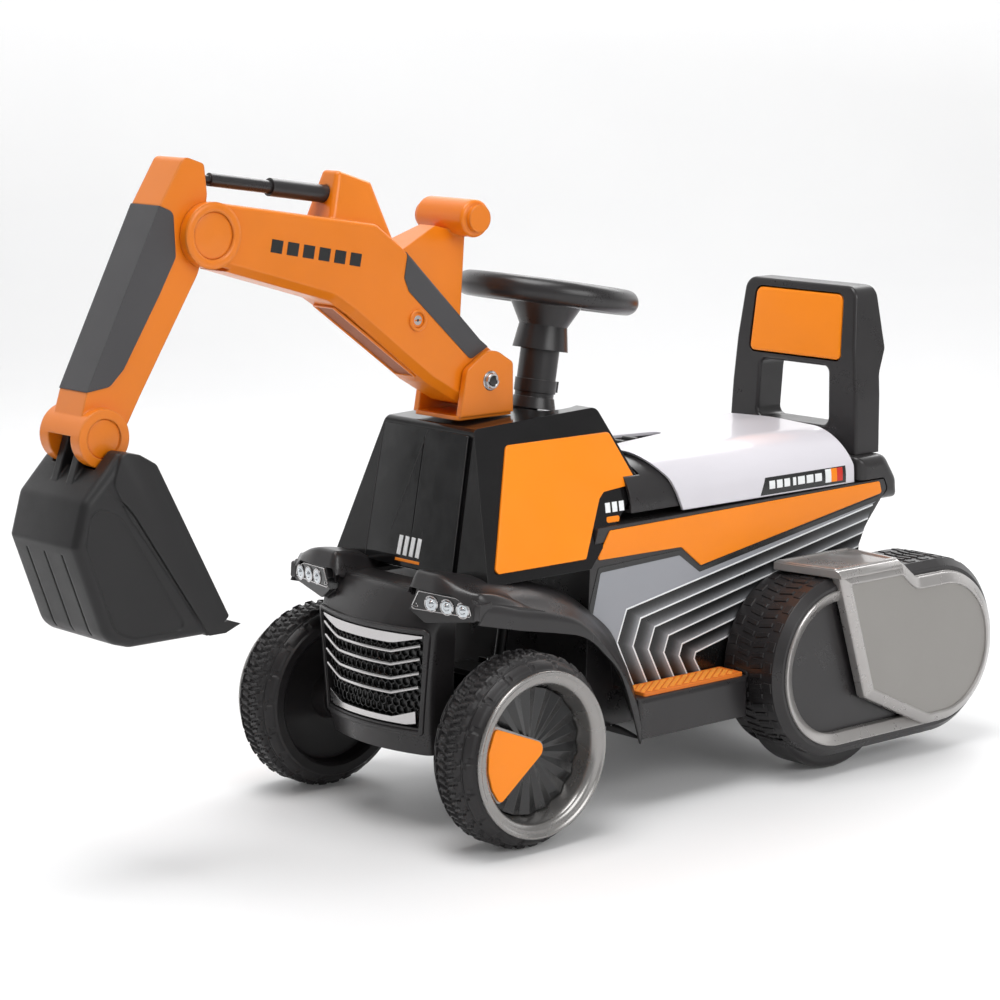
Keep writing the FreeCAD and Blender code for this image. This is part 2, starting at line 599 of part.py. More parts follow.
# ---- Footboards and track pods ----
def make_footboards():
    block = box((100, 154), (176, 342), (77, 121))
    block = soften(block, 6, lambda e: level(e, "x", 154) and not level(e, "z", 77))
    hollow = box((90, 150), (180, 338), (70, 117))
    board = block.cut(hollow).cut(body_block(-0.8)).cut(nodes["front_bumper"])
    board = max(board.Solids, key=lambda s: s.Volume)
    nodes["footboard_left"] = board
    right = mirrored(board)
    right = right.cut(box((-145, -116), (196, 256), (116.5, 125)))
    right = right.cut(cross_rod((250, 119), -148, -113, 1.5 + RUN))
    nodes["footboard_right"] = right
    left_mat = plan_plate([(113, 189, 3), (149, 189, 3), (149, 338, 3), (113, 338, 3)], 121, 124)
    right_mat = plan_plate([(-113, 262, 3), (-149, 262, 3), (-149, 338, 3), (-113, 338, 3)][::-1], 121, 124)
    nodes["footboard_pads"] = Part.makeCompound([left_mat, right_mat])

    pedal = side_plate([(198, 127), (225, 121), (253, 117, 1), (253, 121.5, 1), (198, 131, 2)], -144, -117)
    nodes["drive_pedal"] = pedal.fuse(cross_rod((250, 119), -147.5, -113.5, 1.5)).removeSplitter()


def stadium(radius):
    """Outline of a track pod with a given end radius."""
    return [(POD_FRONT - radius, POD_Z - radius, radius), (POD_BACK + radius, POD_Z - radius, radius),
            (POD_BACK + radius, POD_Z + radius, radius), (POD_FRONT - radius, POD_Z + radius, radius)]


COVER = [(430, 233, 4), (478, 83, 8), (580, 36, 30), (694, 36, 86), (694, 208, 86), (562, 208, 12),
         (530, 233, 12)]


def make_pods():
    pod = side_plate(stadium(POD_R), POD_IN, POD_OUT)
    pod = pod.makeChamfer(8, [e for e in pod.Edges if level(e, "x", POD_OUT)])
    pod = pod.cut(side_plate(stadium(POD_R - WALL), POD_IN + 3, 177))
    pod = pod.cut(cross_rod((REAR_Y, REAR_Z), POD_IN + 3, 177, WELL_R))
    pod = pod.cut(side_plate(stadium(87.6), 185, 200))
    pod = pod.cut(cross_rod((REAR_Y, REAR_Z), POD_IN - 5, POD_IN + 5, AXLE_R + 1))
    for y, z in ((405, 140), (530, 60), (530, 190)):
        spacer = cross_rod((y, z), 100, POD_IN + 1, 9).cut(body_block(-0.8))
        pod = pod.fuse(max(spacer.Solids, key=lambda s: s.BoundBox.XMax))
    nodes["track_pod_left"] = pod.removeSplitter()
    ring = side_plate(stadium(87.4), 185, 198).cut(side_plate(stadium(80), 180, 200))
    nodes["track_rings"] = pair(ring)

    panel = side_plate(COVER, COVER_IN, COVER_OUT)
    deck = plan_plate([(118.5, 416), (COVER_OUT, 430), (COVER_OUT, 530), (118.5, 536)], 223, 233)
    cover = panel.fuse(deck).removeSplitter()
    cover = soften(cover, 9, lambda e: level(e, "x", COVER_OUT) and level(e, "z", 233))
    plug = side_plate(inset(COVER, 9), 187, COVER_IN).common(side_plate(stadium(79.5), 180, 210))
    cover = cover.fuse(plug).cut(side_plate(inset(COVER, 13), COVER_OUT - 3, 210))
    nodes["track_cover_left"] = cover.removeSplitter()
    nodes["track_pod_right"] = mirrored(nodes["track_pod_left"])
    nodes["track_cover_right"] = mirrored(nodes["track_cover_left"])


# ---- Digging arm ----
def make_boom_base():
    base = plan_plate([(-36, 27, 6), (36, 27, 6), (36, 103, 6), (-36, 103, 6)], 418.8, 423)
    ear_outline = [(29, 422), (101, 422), (101, 474, 6), (72, 492, 22), (38, 470, 10)]
    for side in (-1, 1):
        ear = side_plate(ear_outline, *sorted((side * 30.6, side * 38)))
        base = base.fuse(ear)
    base = base.fuse(rod((0, SWING_Y, 394), (0, SWING_Y, 420), 12))
    base = base.cut(cross_rod(ROOT_PIN, -50, 50, 8.02))
    nodes["boom_base"] = base.removeSplitter()
    pin = cross_rod(ROOT_PIN, -41, 41, 8)
    for x_low in (-42, 36):
        pin = pin.cut(cross_rod(ROOT_PIN, x_low, x_low + 6, 5))
    nodes["boom_pin"] = pin


BOOM = [(-290, 600), (-130, 553, 20), (-105, 537, 20), (-4, 460, 20), (40, 434.5), (60, 440), (88, 480),
        (72, 492), (-39, 601, 14), (-72, 626, 14), (-262, 656, 20), (-304, 640)]


def make_boom():
    body = shaped_boom(0)
    foot = [Vector(-25, -130, 618), Vector(25, -130, 618), Vector(25, -46, 606), Vector(-25, -46, 606)]
    crown = [Vector(-13, -109, 681), Vector(13, -109, 681), Vector(13, -66, 667), Vector(-13, -66, 667)]
    bracket = Part.makeLoft([Part.makePolygon(foot + foot[:1]), Part.makePolygon(crown + crown[:1])],
                            True, True)
    bracket = soften(bracket, 5, lambda e: e.BoundBox.ZMax > 640)
    body = body.fuse(cross_rod(ELBOW_PIN, -35, 35, 32)).fuse(bracket)
    body = body.fuse(cross_rod(ROOT_PIN, -29, 29, 30))
    cavity = side_plate(inset(BOOM, 5), -22.5, 22.5)
    cavity = cavity.cut(box((-40, 40), (34, 120), (400, 520)))
    body = body.cut(cavity)
    sweep = cross_rod(ELBOW_PIN, -23.5, 23.5, 34)
    mouth = side_plate([(-340, 540), (-270, 575), (-243, 600), (-243, 665), (-340, 720)], -23.5, 23.5)
    body = body.cut(sweep).cut(mouth)
    for side in (-1, 1):
        body = body.cut(cross_rod(ELBOW_PIN, *sorted((side * 32.5, side * 40)), 23))
    body = body.cut(cross_rod(ELBOW_PIN, -40, 40, 7.02))
    body = body.cut(cross_rod(ROOT_PIN, -50, 50, 8 + RUN))
    socket = rod((0, STRUT_BACK[0] - 60, STRUT_BACK[1] + 8.6), (0, *STRUT_BACK), 9.1)
    body = body.cut(socket)
    for side in (-1, 1):
        dish = cross_rod((-21, 526), *sorted((side * 27, side * 40)), 8)
        boss = cross_rod((-21, 526), *sorted((side * 22, side * 31)), 11)
        body = body.fuse(boss).cut(dish)
    inlay_outline = [(-30, 612), (-38, 570, 6), (-32, 556, 6), (50, 480, 6), (90, 500)]
    inlay_zone = side_plate(inlay_outline, -40, 40)
    skin = shaped_boom(-0.6).cut(side_plate(inset(BOOM, 2.4), -26.6, 26.6))
    inlay = skin.common(inlay_zone)
    body = body.cut(inlay_zone.common(side_plate(BOOM, -40, 40).cut(
        side_plate(inset(BOOM, 2.4), -26.6, 26.6))))
    nodes["boom_inlays"] = inlay
    body = max(body.Solids, key=lambda s: s.Volume)

    bar = rod((-38, 51, 626), (38, 51, 626), 19.5)
    bar = soften(bar, 4, lambda e: level(e, "x", 38) or level(e, "x", -38))
    grip = bar.fuse(rod((-44, 51, 626), (44, 51, 626), 14))
    top = [Vector(-12, 17, 619), Vector(12, 17, 619), Vector(12, 57, 609), Vector(-12, 57, 609)]
    foot = [Vector(-24, -40, 596), Vector(24, -40, 596), Vector(24, 40, 517), Vector(-24, 40, 517)]
    stem = Part.makeLoft([Part.makePolygon(top + top[:1]), Part.makePolygon(foot + foot[:1])], True, True)
    handle = grip.fuse(stem)
    handle = handle.cut(side_plate(inset(BOOM, -0.7), -29.7, 29.7))
    nodes["boom_handle"] = max(handle.Solids, key=lambda s: s.Volume).removeSplitter()
    nodes["boom"] = body.removeSplitter()
    nodes["elbow_pin"] = cross_rod(ELBOW_PIN, -32, 32, 7)
    screw = cross_rod((-21, 526), 27.2, 30, 5).cut(box((28.6, 31), (-25, -17), (525.2, 526.8)))
    nodes["screws"] = pair(screw)


def shaped_boom(distance):
    """The boom's outer form with its lower edges bevelled and upper edges rounded."""
    half = 29 - distance
    form = side_plate(inset(BOOM, distance), -half, half)
    lower = [edge for edge in form.Edges if level(edge, "x", half) or level(edge, "x", -half)]
    lower = [edge for edge in lower if below_boom(edge.CenterOfMass)]
    form = form.makeChamfer(8, lower)
    upper = [edge for edge in form.Edges if level(edge, "x", half) or level(edge, "x", -half)]
    upper = [edge for edge in upper if above_boom(edge.CenterOfMass)]
    return form.makeFillet(4, upper)


def below_boom(middle):
    """True for a point on the boom's underside between the two pins."""
    return -285 < middle.y < 45 and middle.z < 575 - 0.42 * (middle.y + 130) + 20 and middle.z < 598


def above_boom(middle):
    """True for a point on the boom's upper face between the two pins."""
    return -255 < middle.y < 60 and middle.z > 585 - 0.9 * (middle.y + 30) * (middle.y > -30) + 10


def make_strut():
    run = Vector(0, STRUT_FRONT[0] - STRUT_BACK[0], STRUT_FRONT[1] - STRUT_BACK[1])
    run.normalize()

    def at(distance):
        return (0, STRUT_BACK[0] + run.y * distance, STRUT_BACK[1] + run.z * distance)

    tube = rod(at(0), at(88), 9)
    nodes["strut_tube"] = tube.cut(rod(at(8), at(90), 6.5 + RUN))
    shaft = rod(at(28), at(161), 6.5)
    tip = rod(at(160), at(173), 4.2)

    def oblong(half_width, low, high, radius, half_length):
        y, z = STRUT_FRONT
        return side_plate([(y - half_width, z + low, radius), (y + half_width, z + low, radius),
                           (y + half_width, z + high, radius), (y - half_width, z + high, radius)],
                          -half_length, half_length)

    eye = oblong(6, -8.2, 6, 4, 5)
    slot = oblong(3.2, -5.4, 3.2, 2.6, 10)
    nodes["strut_rod"] = join(shaft, tip, eye).cut(slot)


STICK = [(-427, 455, 4), (-385, 432, 4), (-358, 478, 8), (-287, 592, 30), (-276, 665, 20), (-279, 694, 5),
         (-302, 702, 8), (-331, 656, 12), (-417, 486, 12)]
STICK_INLAY = [(-392, 490, 10), (-376, 505, 12), (-334, 572, 12), (-314, 607, 10), (-316, 650, 8),
               (-345, 662, 0), (-440, 470, 0), (-424, 486, 8)]


def stick_form(distance):
    """The stick's outer form, moved inwards by a distance."""
    return side_plate(inset(STICK, distance), -23 + distance, 23 - distance)


def make_stick():
    form = stick_form(0)
    form = form.fuse(cross_rod(ELBOW_PIN, -23, 23, 26))
    form = form.fuse(cross_rod(BUCKET_PIN, -33.7, 33.7, 28))
    hollow = stick_form(5).common(box((-40, 40), (-430, -290), (478, 660)))
    form = form.cut(hollow)
    zone = side_plate(STICK_INLAY, -40, 40)
    skin = stick_form(0).cut(stick_form(2.4))
    form = form.cut(skin.common(zone))
    proud = stick_form(-0.8).cut(stick_form(2.4))
    inlay = proud.common(zone)
    nodes["stick_inlay"] = max(inlay.Solids, key=lambda s: s.Volume)
    for side in (-1, 1):
        form = form.cut(cross_rod(BUCKET_PIN, *sorted((side * 31.5, side * 40)), 19))
    y, z = BUCKET_PIN
    wedge = [(y, z)]
    for angle in (-188, -130, -80, -22):
        turn = math.radians(angle)
        wedge.append((y + 60 * math.cos(turn), z + 60 * math.sin(turn)))
    form = form.cut(side_plate(wedge, -19, 19)).cut(cross_rod(BUCKET_PIN, -19, 19, 15.5))
    form = form.cut(cross_rod(BUCKET_PIN, -40, 40, 6.02))
    form = form.cut(cross_rod(ELBOW_PIN, -40, 40, 7 + RUN))
    pocket = side_plate([(-282, 664), (-260, 664), (-260, 691), (-282, 691)], -7, 7)
    form = form.cut(pocket)
    form = form.fuse(cross_rod(STRUT_FRONT, -9, 9, 2.5))
    nodes["stick"] = max(form.Solids, key=lambda s: s.Volume).removeSplitter()
    nodes["bucket_pin"] = cross_rod(BUCKET_PIN, -31, 31, 6)


BUCKET = [(-403, 433, 8), (-445, 389, 16), (-457, 347, 8), (-423, 253, 26), (-396, 245, 12), (-303, 245, 3),
          (-284, 261, 3), (-365, 418, 10), (-384, 429, 8)]


def make_bucket():
    body = side_plate(BUCKET, -58, 58)
    band = side_plate([(-403, 433, 8), (-412, 407), (-392, 388), (-303, 246), (-284, 261, 3),
                       (-365, 418, 10), (-384, 429, 8)], -60, 60)
    body = body.fuse(band)
    hollow = [(-399, 423, 6), (-440, 386, 12), (-452.5, 347, 6), (-419, 257, 22), (-395, 249.5, 10),
              (-300, 249.5), (-262, 262), (-345, 420), (-386, 424.5, 6)]
    body = body.cut(side_plate(hollow, -54, 54))
    scoop = cross_rod(BUCKET_PIN, -36.5, 36.5, 30.5)
    body = body.cut(scoop)
    liner = side_plate(hollow, -54, 54)
    shield = cross_rod(BUCKET_PIN, -39, 39, 33.5).cut(cross_rod(BUCKET_PIN, -36.5, 36.5, 30.5))
    body = body.fuse(shield.common(liner))
    lip = side_plate([(-310, 245), (-289, 245), (-271, 252), (-285, 256), (-305, 250)], -60, 60)
    body = body.fuse(lip)
    y, z = BUCKET_PIN
    for side in (-1, 1):
        lug = side_plate([(y - 12, z), (y - 27, z - 42), (y + 4, z - 36), (y + 12, z)],
                         *sorted((side * 8, side * 18)))
        lug = lug.fuse(cross_rod(BUCKET_PIN, *sorted((side * 8, side * 18)), 13))
        body = body.fuse(lug)
    body = body.cut(cross_rod(BUCKET_PIN, -40, 40, 6 + RUN))
    for x in (-30, 0, 30):
        groove = side_plate([(-470, 330), (-440, 238), (-425, 238), (-452.9, 330)], x - 1.5, x + 1.5)
        thin = side_plate(inset(BUCKET, 1.6), -60, 60)
        body = body.cut(groove.cut(thin))
    nodes["bucket"] = max(body.Solids, key=lambda s: s.Volume).removeSplitter()


make_chassis()
make_drive()
make_knuckle()
make_steering()
make_front_wheel()
make_rear_wheel()
make_body()
make_seat()
make_rear_end()
make_cab()
make_switch()
make_bumper()
make_footboards()
make_pods()
make_boom_base()
make_boom()
make_strut()
make_stick()
make_bucket()

os.makedirs("parts", exist_ok=True)
for name, shape in nodes.items():
    shape.translate(Vector(0, AXLE_Y, 0))
    shape.exportStep(f"parts/{name}.step")
    span = shape.BoundBox
    print(f"{name:22s} solids {len(shape.Solids)} valid {shape.isValid()} "
          f"x {span.XMin:.1f} {span.XMax:.1f} y {span.YMin:.1f} {span.YMax:.1f} "
          f"z {span.ZMin:.1f} {span.ZMax:.1f}")
print(len(nodes), "nodes")
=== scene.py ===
"""Looks of the ride-on toy excavator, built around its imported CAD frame."""
import json
import math

import bmesh
import bpy
from mathutils import Matrix, Vector


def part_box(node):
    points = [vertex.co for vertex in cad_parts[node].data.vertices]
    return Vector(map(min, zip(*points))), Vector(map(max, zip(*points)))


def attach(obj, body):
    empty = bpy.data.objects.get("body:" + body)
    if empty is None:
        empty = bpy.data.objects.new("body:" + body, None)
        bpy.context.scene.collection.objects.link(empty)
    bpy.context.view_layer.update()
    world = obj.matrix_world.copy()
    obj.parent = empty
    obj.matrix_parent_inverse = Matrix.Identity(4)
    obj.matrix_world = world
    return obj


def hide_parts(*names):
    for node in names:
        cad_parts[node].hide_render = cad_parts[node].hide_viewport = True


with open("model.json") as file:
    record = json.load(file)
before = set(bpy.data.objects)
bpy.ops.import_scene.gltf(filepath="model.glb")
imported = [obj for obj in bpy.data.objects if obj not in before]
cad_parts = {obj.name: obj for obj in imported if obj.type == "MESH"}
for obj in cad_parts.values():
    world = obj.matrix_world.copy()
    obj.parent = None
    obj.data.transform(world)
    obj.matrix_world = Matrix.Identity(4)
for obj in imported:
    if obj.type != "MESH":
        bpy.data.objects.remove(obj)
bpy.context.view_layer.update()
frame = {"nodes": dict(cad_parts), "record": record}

# Lengths below are in millimetres, with y measured back from the front axle.
RIM_LOW, RIM_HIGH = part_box("front_rim_left")
AXLE_Y = (RIM_LOW.y + RIM_HIGH.y) / 2
WHEEL_Z = (RIM_LOW.z + RIM_HIGH.z) / 2 * 1000
HUB = (0, WHEEL_Z)


def spot(x, y, z):
    """A point given in millimetres, in the frame's metres."""
    return Vector((x / 1000, AXLE_Y + y / 1000, z / 1000))


def in_scene(name, data):
    """A new object in the scene that shows this data."""
    obj = bpy.data.objects.new(name, data)
    bpy.context.collection.objects.link(obj)
    return obj


# ---- Camera, as worked out from the photo; its place is in metres ----
CAMERA_TURN, CAMERA_RISE = math.radians(48.64), math.radians(9.85)
CAMERA_PLACE = (2.3248, -2.056, 0.8588)
CAMERA_LENS = 106.2


def add_camera():
    right = Vector((math.cos(CAMERA_TURN), math.sin(CAMERA_TURN), 0))
    back = Vector((math.sin(CAMERA_TURN) * math.cos(CAMERA_RISE),
                   -math.cos(CAMERA_TURN) * math.cos(CAMERA_RISE), math.sin(CAMERA_RISE)))
    data = bpy.data.cameras.new("camera")
    data.lens = CAMERA_LENS
    data.sensor_width = 36
    data.clip_end = 100
    camera = in_scene("camera", data)
    turn = Matrix((right, back.cross(right), back)).transposed().to_4x4()
    camera.matrix_world = Matrix.Translation(CAMERA_PLACE) @ turn
    bpy.context.scene.camera = camera
    bpy.context.scene.view_settings.view_transform = "Standard"


add_camera()


# ---- Materials ----
def linear(red, green, blue):
    """A screen colour, 0 to 255, as linear light."""
    shares = [value / 255 for value in (red, green, blue)]
    return [s / 12.92 if s <= 0.04045 else ((s + 0.055) / 1.055) ** 2.4 for s in shares] + [1.0]


class Nodes:
    """A short way to write a material's nodes and links."""

    def __init__(self, name):
        self.material = bpy.data.materials.new(name)
        self.material.use_nodes = True
        self.tree = self.material.node_tree
        self.shader = self.tree.nodes["Principled BSDF"]
        self.place = self.add("ShaderNodeTexCoord").outputs["Object"]

    def add(self, kind, settings=(), **inputs):
        node = self.tree.nodes.new(kind)
        for key, value in dict(settings).items():
            setattr(node, key, value)
        self.fill(node, **inputs)
        return node

    def fill(self, node, **inputs):
        for key, value in inputs.items():
            self.set(node.inputs[key.replace("_", " ")], value)

    def set(self, socket, value):
        if isinstance(value, bpy.types.NodeSocket):
            self.tree.links.new(value, socket)
        else:
            socket.default_value = value

    def noise(self, scale, detail=2.0, roughness=0.5, place=None):
        node = self.add("ShaderNodeTexNoise", Scale=scale, Detail=detail, Roughness=roughness)
        self.set(node.inputs["Vector"], place or self.place)
        return node.outputs["Fac"]

    def spread(self, value, low_in, high_in, low, high):
        node = self.add("ShaderNodeMapRange", Value=value, From_Min=low_in, From_Max=high_in,
                        To_Min=low, To_Max=high)
        return node.outputs["Result"]

    def maths(self, operation, first, second=0.0):
        node = self.add("ShaderNodeMath", {"operation": operation})
        self.set(node.inputs[0], first)
        self.set(node.inputs[1], second)
        return node.outputs[0]

    def blend(self, share, first, second):
        node = self.add("ShaderNodeMix", {"data_type": "RGBA"})
        self.set(node.inputs["Factor"], share)
        self.set(node.inputs["A"], first)
        self.set(node.inputs["B"], second)
        return node.outputs["Result"]


def moulded(name, colour, rough, grain, grain_size=900, edge=0.0008, coat=0.0, metal=0.0, wear_and_highlight_colour=None,
            wear_and_highlight_amount=0.35, drift=0.12, spec=0.5, coat_rough=0.06, smear=0.05):
    """Moulded plastic: fine grain, slow colour drift, soft edges lightened partly as rubbed wear and partly
    as a painted highlight.
    """
    n = Nodes(name)
    base = linear(*colour)
    darker = [c * (1 - drift) for c in base[:3]] + [1.0]
    lighter = [min(c * (1 + drift) + 0.002, 1) for c in base[:3]] + [1.0]
    cloud = n.noise(9, 4)
    speck = n.noise(grain_size * 0.6, 2)
    fine = min(grain * 0.15, 0.03)
    tone = n.blend(n.spread(cloud, 0.3, 0.7, 0, 1), darker, lighter)
    normal = n.add("ShaderNodeNewGeometry").outputs["Normal"]
    if edge:
        soft = n.add("ShaderNodeBevel", {"samples": 6}, Radius=edge).outputs["Normal"]
        dot = n.add("ShaderNodeVectorMath", {"operation": "DOT_PRODUCT"})
        n.set(dot.inputs[0], soft)
        n.set(dot.inputs[1], normal)
        # Edges come out lighter: partly rubbed wear, partly a painted highlight along every edge.
        edge_rub_and_highlight = n.spread(dot.outputs["Value"], 0.99, 0.8, 0, wear_and_highlight_amount)
        scuff_and_highlight = n.maths("MULTIPLY", edge_rub_and_highlight, n.spread(n.noise(60, 5, 0.7), 0.35, 0.65, 0.35, 1))
        normal = soft
    else:
        scuff_and_highlight = n.spread(n.noise(60, 5, 0.7), 0.55, 0.8, 0, wear_and_highlight_amount * 0.3)
    # This lighter colour on edges and patches is partly wear and, on edges, partly a painted highlight.
    wear_and_highlight_tint = linear(*wear_and_highlight_colour) if wear_and_highlight_colour else [min(c * 1.5 + 0.02, 1) for c in base[:3]] + [1.0]
    wear_and_highlight_tone = n.blend(scuff_and_highlight, tone, wear_and_highlight_tint)
    stain = n.spread(n.noise(26, 5, 0.6), 0.3, 0.7, -smear, smear)
    matt = n.maths("ADD", n.maths("ADD", stain, rough), n.spread(speck, 0.3, 0.7, -fine, fine))
    bump = n.add("ShaderNodeBump", Strength=grain, Distance=0.0004, Height=n.noise(grain_size, 3))
    n.set(bump.inputs["Normal"], normal)
    n.fill(n.shader, Base_Color=wear_and_highlight_tone, Roughness=matt, Normal=bump.outputs["Normal"], Metallic=metal,
           Specular_IOR_Level=spec, Coat_Weight=coat, Coat_Roughness=coat_rough)
    return n.material


charcoal = moulded("charcoal_plastic", (36, 34, 35), 0.31, 0.12, drift=0.08, edge=0.0012)
soft_charcoal = moulded("bucket_plastic", (24, 23, 24), 0.42, 0.3, drift=0.08, spec=0.4, edge=0.003)
arm_orange = moulded("arm_orange_plastic", (224, 120, 6), 0.34, 0.08, wear_and_highlight_colour=(255, 190, 110), spec=0.4,
                     edge=0.003, drift=0.04, wear_and_highlight_amount=0.2, coat=0.25, coat_rough=0.2)
# A darker orange used as painted shade inside the boom's underside hollow.
recess_painted_shade = moulded("recess_orange_painted_shade", (150, 72, 10), 0.5, 0.15, spec=0.3, drift=0.05)
panel_orange = moulded("panel_orange_film", (250, 138, 12), 0.34, 0.05, wear_and_highlight_colour=(255, 190, 120), spec=0.35,
                       drift=0.02, wear_and_highlight_amount=0.2)
cab_black = moulded("cab_gloss_black", (9, 9, 11), 0.08, 0.01, spec=0.45, wear_and_highlight_amount=0.1)
cab_satin = moulded("cab_satin_black", (16, 15, 16), 0.16, 0.03, spec=0.4, wear_and_highlight_amount=0.15)
gloss_black = moulded("trim_gloss_black", (15, 15, 16), 0.25, 0.05, coat=0.3, wear_and_highlight_amount=0.2)
tyre_black = moulded("tyre_plastic", (30, 28, 29), 0.42, 0.4, grain_size=700, wear_and_highlight_amount=0.5, spec=0.4)
seat_white = moulded("seat_pearl_white", (216, 213, 219), 0.3, 0.04, coat=0.4, drift=0.01,
                     wear_and_highlight_colour=(235, 233, 238), edge=0.0015, smear=0.015, wear_and_highlight_amount=0.15)
silver = moulded("silver_paint", (158, 154, 151), 0.38, 0.06, metal=0.35, drift=0.02, wear_and_highlight_colour=(205, 202, 198),
                 coat=0.5, coat_rough=0.12, edge=0.001, wear_and_highlight_amount=0.25)
panel_silver = moulded("cover_panel_silver", (140, 137, 133), 0.42, 0.05, metal=0.2, drift=0.015,
                       wear_and_highlight_colour=(180, 177, 173), coat=0.3, coat_rough=0.15, wear_and_highlight_amount=0.1, smear=0.02, edge=0)
ring_silver = moulded("ring_silver_paint", (170, 167, 165), 0.28, 0.02, metal=0.65, drift=0.02,
                      wear_and_highlight_colour=(225, 223, 220), coat=0.4, coat_rough=0.1, edge=0, wear_and_highlight_amount=0.1, smear=0.02)
rim_silver = moulded("rim_silver", (146, 144, 142), 0.27, 0.0, metal=0.85, drift=0.01, coat=0.3, wear_and_highlight_amount=0.1,
                     edge=0, smear=0.02)
chrome = moulded("chrome_plating", (196, 194, 194), 0.22, 0.02, metal=1.0, drift=0.02, wear_and_highlight_colour=(250, 250, 250),
                 edge=0, wear_and_highlight_amount=0.1)
steel = moulded("zinc_steel", (190, 190, 192), 0.28, 0.1, metal=1.0, drift=0.04)
inlay_grey = moulded("inlay_grey_plastic", (66, 65, 67), 0.42, 0.3, drift=0.05, spec=0.4, edge=0.0015)
film_grey = moulded("decal_grey_film", (146, 148, 154), 0.3, 0.04, drift=0.01, coat=0.2, wear_and_highlight_amount=0.1, smear=0.02)
film_black = moulded("decal_black_film", (12, 13, 14), 0.3, 0.04, coat=0.3)
film_white = moulded("decal_white_film", (238, 240, 241), 0.35, 0.04, drift=0.02)
film_red = moulded("decal_red_film", (206, 40, 26), 0.35, 0.04, drift=0.02)
mat_orange = moulded("foot_mat_orange", (255, 158, 44), 0.5, 0.3, wear_and_highlight_colour=(255, 190, 120))
# The mat's ground is the same orange painted darker: painted shade between the diamonds.
mat_ground_shaded = moulded("foot_mat_ground_painted_shade", (232, 122, 30), 0.6, 0.3)
lamp_glass = moulded("lamp_reflector", (205, 210, 214), 0.1, 0.05, metal=0.9, coat=1.0)
battery_case = moulded("battery_case_plastic", (30, 30, 32), 0.5, 0.3)


def fading_film():
    """Printed film that runs from black to grey by the shade stored on its points."""
    n = Nodes("decal_fading_film")
    share = n.add("ShaderNodeAttribute", {"attribute_name": "shade"}).outputs["Fac"]
    uneven = n.maths("ADD", share, n.spread(n.noise(300, 2), 0.3, 0.7, -0.02, 0.02))
    eased = n.maths("POWER", uneven, 3.0)
    n.fill(n.shader, Base_Color=n.blend(eased, linear(10, 11, 12), linear(150, 152, 156)),
           Roughness=n.spread(n.noise(40, 4), 0.3, 0.7, 0.26, 0.36))
    return n.material


striped_film = fading_film()

FINISH = {
    "charcoal": charcoal, "battery_case": battery_case, "steel": steel, "tyre_black": tyre_black,
    "silver": silver, "black_gloss": gloss_black, "orange": arm_orange, "decal": film_grey,
    "seat_white": seat_white, "lens": lamp_glass, "chrome_plated": chrome, "mat_orange": mat_orange,
    "inlay_grey": inlay_grey,
}
OWN_FINISH = {"steering_shaft": soft_charcoal, "cab_front_panel": cab_black, "cab_shell": cab_satin,
              "bucket": soft_charcoal,
              "track_rings": ring_silver, "cab_side_panels": panel_orange, "side_trims": panel_orange,
              "backrest_pad": panel_orange, "front_rim_left": rim_silver, "front_rim_right": rim_silver,
              "wheel_badge_left": panel_orange, "wheel_badge_right": panel_orange}


def finish_cad_nodes():
    for part in frame["record"]["subparts"]:
        materials = frame["nodes"][part["node"]].data.materials
        materials.clear()
        materials.append(OWN_FINISH.get(part["node"], FINISH[part["material_slot"]]))


finish_cad_nodes()


# ---- Mesh helpers: a shape is a list of points in millimetres and a list of faces ----
def corner_at(corners, i):
    """A corner's place and radius, from (a, b) or (a, b, radius), counted round the outline."""
    corner = corners[i % len(corners)]
    return Vector(corner[:2]), corner[2] if len(corner) > 2 else 0


def rounded(corners, steps=6):
    """An outline's points, with each corner (a, b, radius) rounded."""
    points = []
    for i in range(len(corners)):
        here, radius = corner_at(corners, i)
        if not radius:
            points.append(here)
            continue
        first, second = ((corner_at(corners, j)[0] - here).normalized() for j in (i - 1, i + 1))
        half = first.angle(second) / 2
        reach = radius / math.tan(half)
        middle = here + (first + second).normalized() * (radius / math.sin(half))
        start, end = here + first * reach - middle, here + second * reach - middle
        turn = start.angle_signed(end)
        points += [middle + Matrix.Rotation(-turn * k / steps, 2) @ start for k in range(steps + 1)]
    return points


def on_axis(axis, level, outline):
    """Flat points at a level on an axis: x takes (y, z), y takes (x, z), z takes (x, y)."""
    if axis == "x":
        return [(level, a, b) for a, b in outline]
    if axis == "y":
        return [(a, level, b) for a, b in outline]
    return [(a, b, level) for a, b in outline]


def ring_skin(rings, closed_ends=True):
    """A skin over rings of points that all have the same count."""
    verts = [point for ring in rings for point in ring]
    count = len(rings[0])
    faces = []
    for start in range(0, len(verts) - count, count):
        for i in range(count):
            following = (i + 1) % count
            faces.append((start + i, start + following, start + count + following, start + count + i))
    if closed_ends:
        faces.append(tuple(range(count))[::-1])
        faces.append(tuple(range(len(verts) - count, len(verts))))
    return verts, faces


def prism(corners, axis, low, high):
    """An outline pushed along an axis."""
    outline = rounded(corners)
    return ring_skin([on_axis(axis, level, outline) for level in (low, high)])


def around(centre, x, radius, angle):
    """A point on a circle round the cross axis through centre (y, z)."""
    return x, centre[0] + radius * math.cos(angle), centre[1] + radius * math.sin(angle)


def turned(profile, centre, steps=96):
    """A closed profile of (x, radius) turned round the cross axis through centre (y, z)."""
    angles = [2 * math.pi * k / steps for k in range(steps + 1)]
    rings = [[around(centre, x, radius, angle) for x, radius in profile] for angle in angles]
    return ring_skin(rings, closed_ends=False)


def drum(low, high, radius, centre, steps=48):
    """A plain solid cylinder round the cross axis through centre (y, z)."""
    return turned([(low, 0.01), (low, radius), (high, radius), (high, 0.01)], centre, steps)


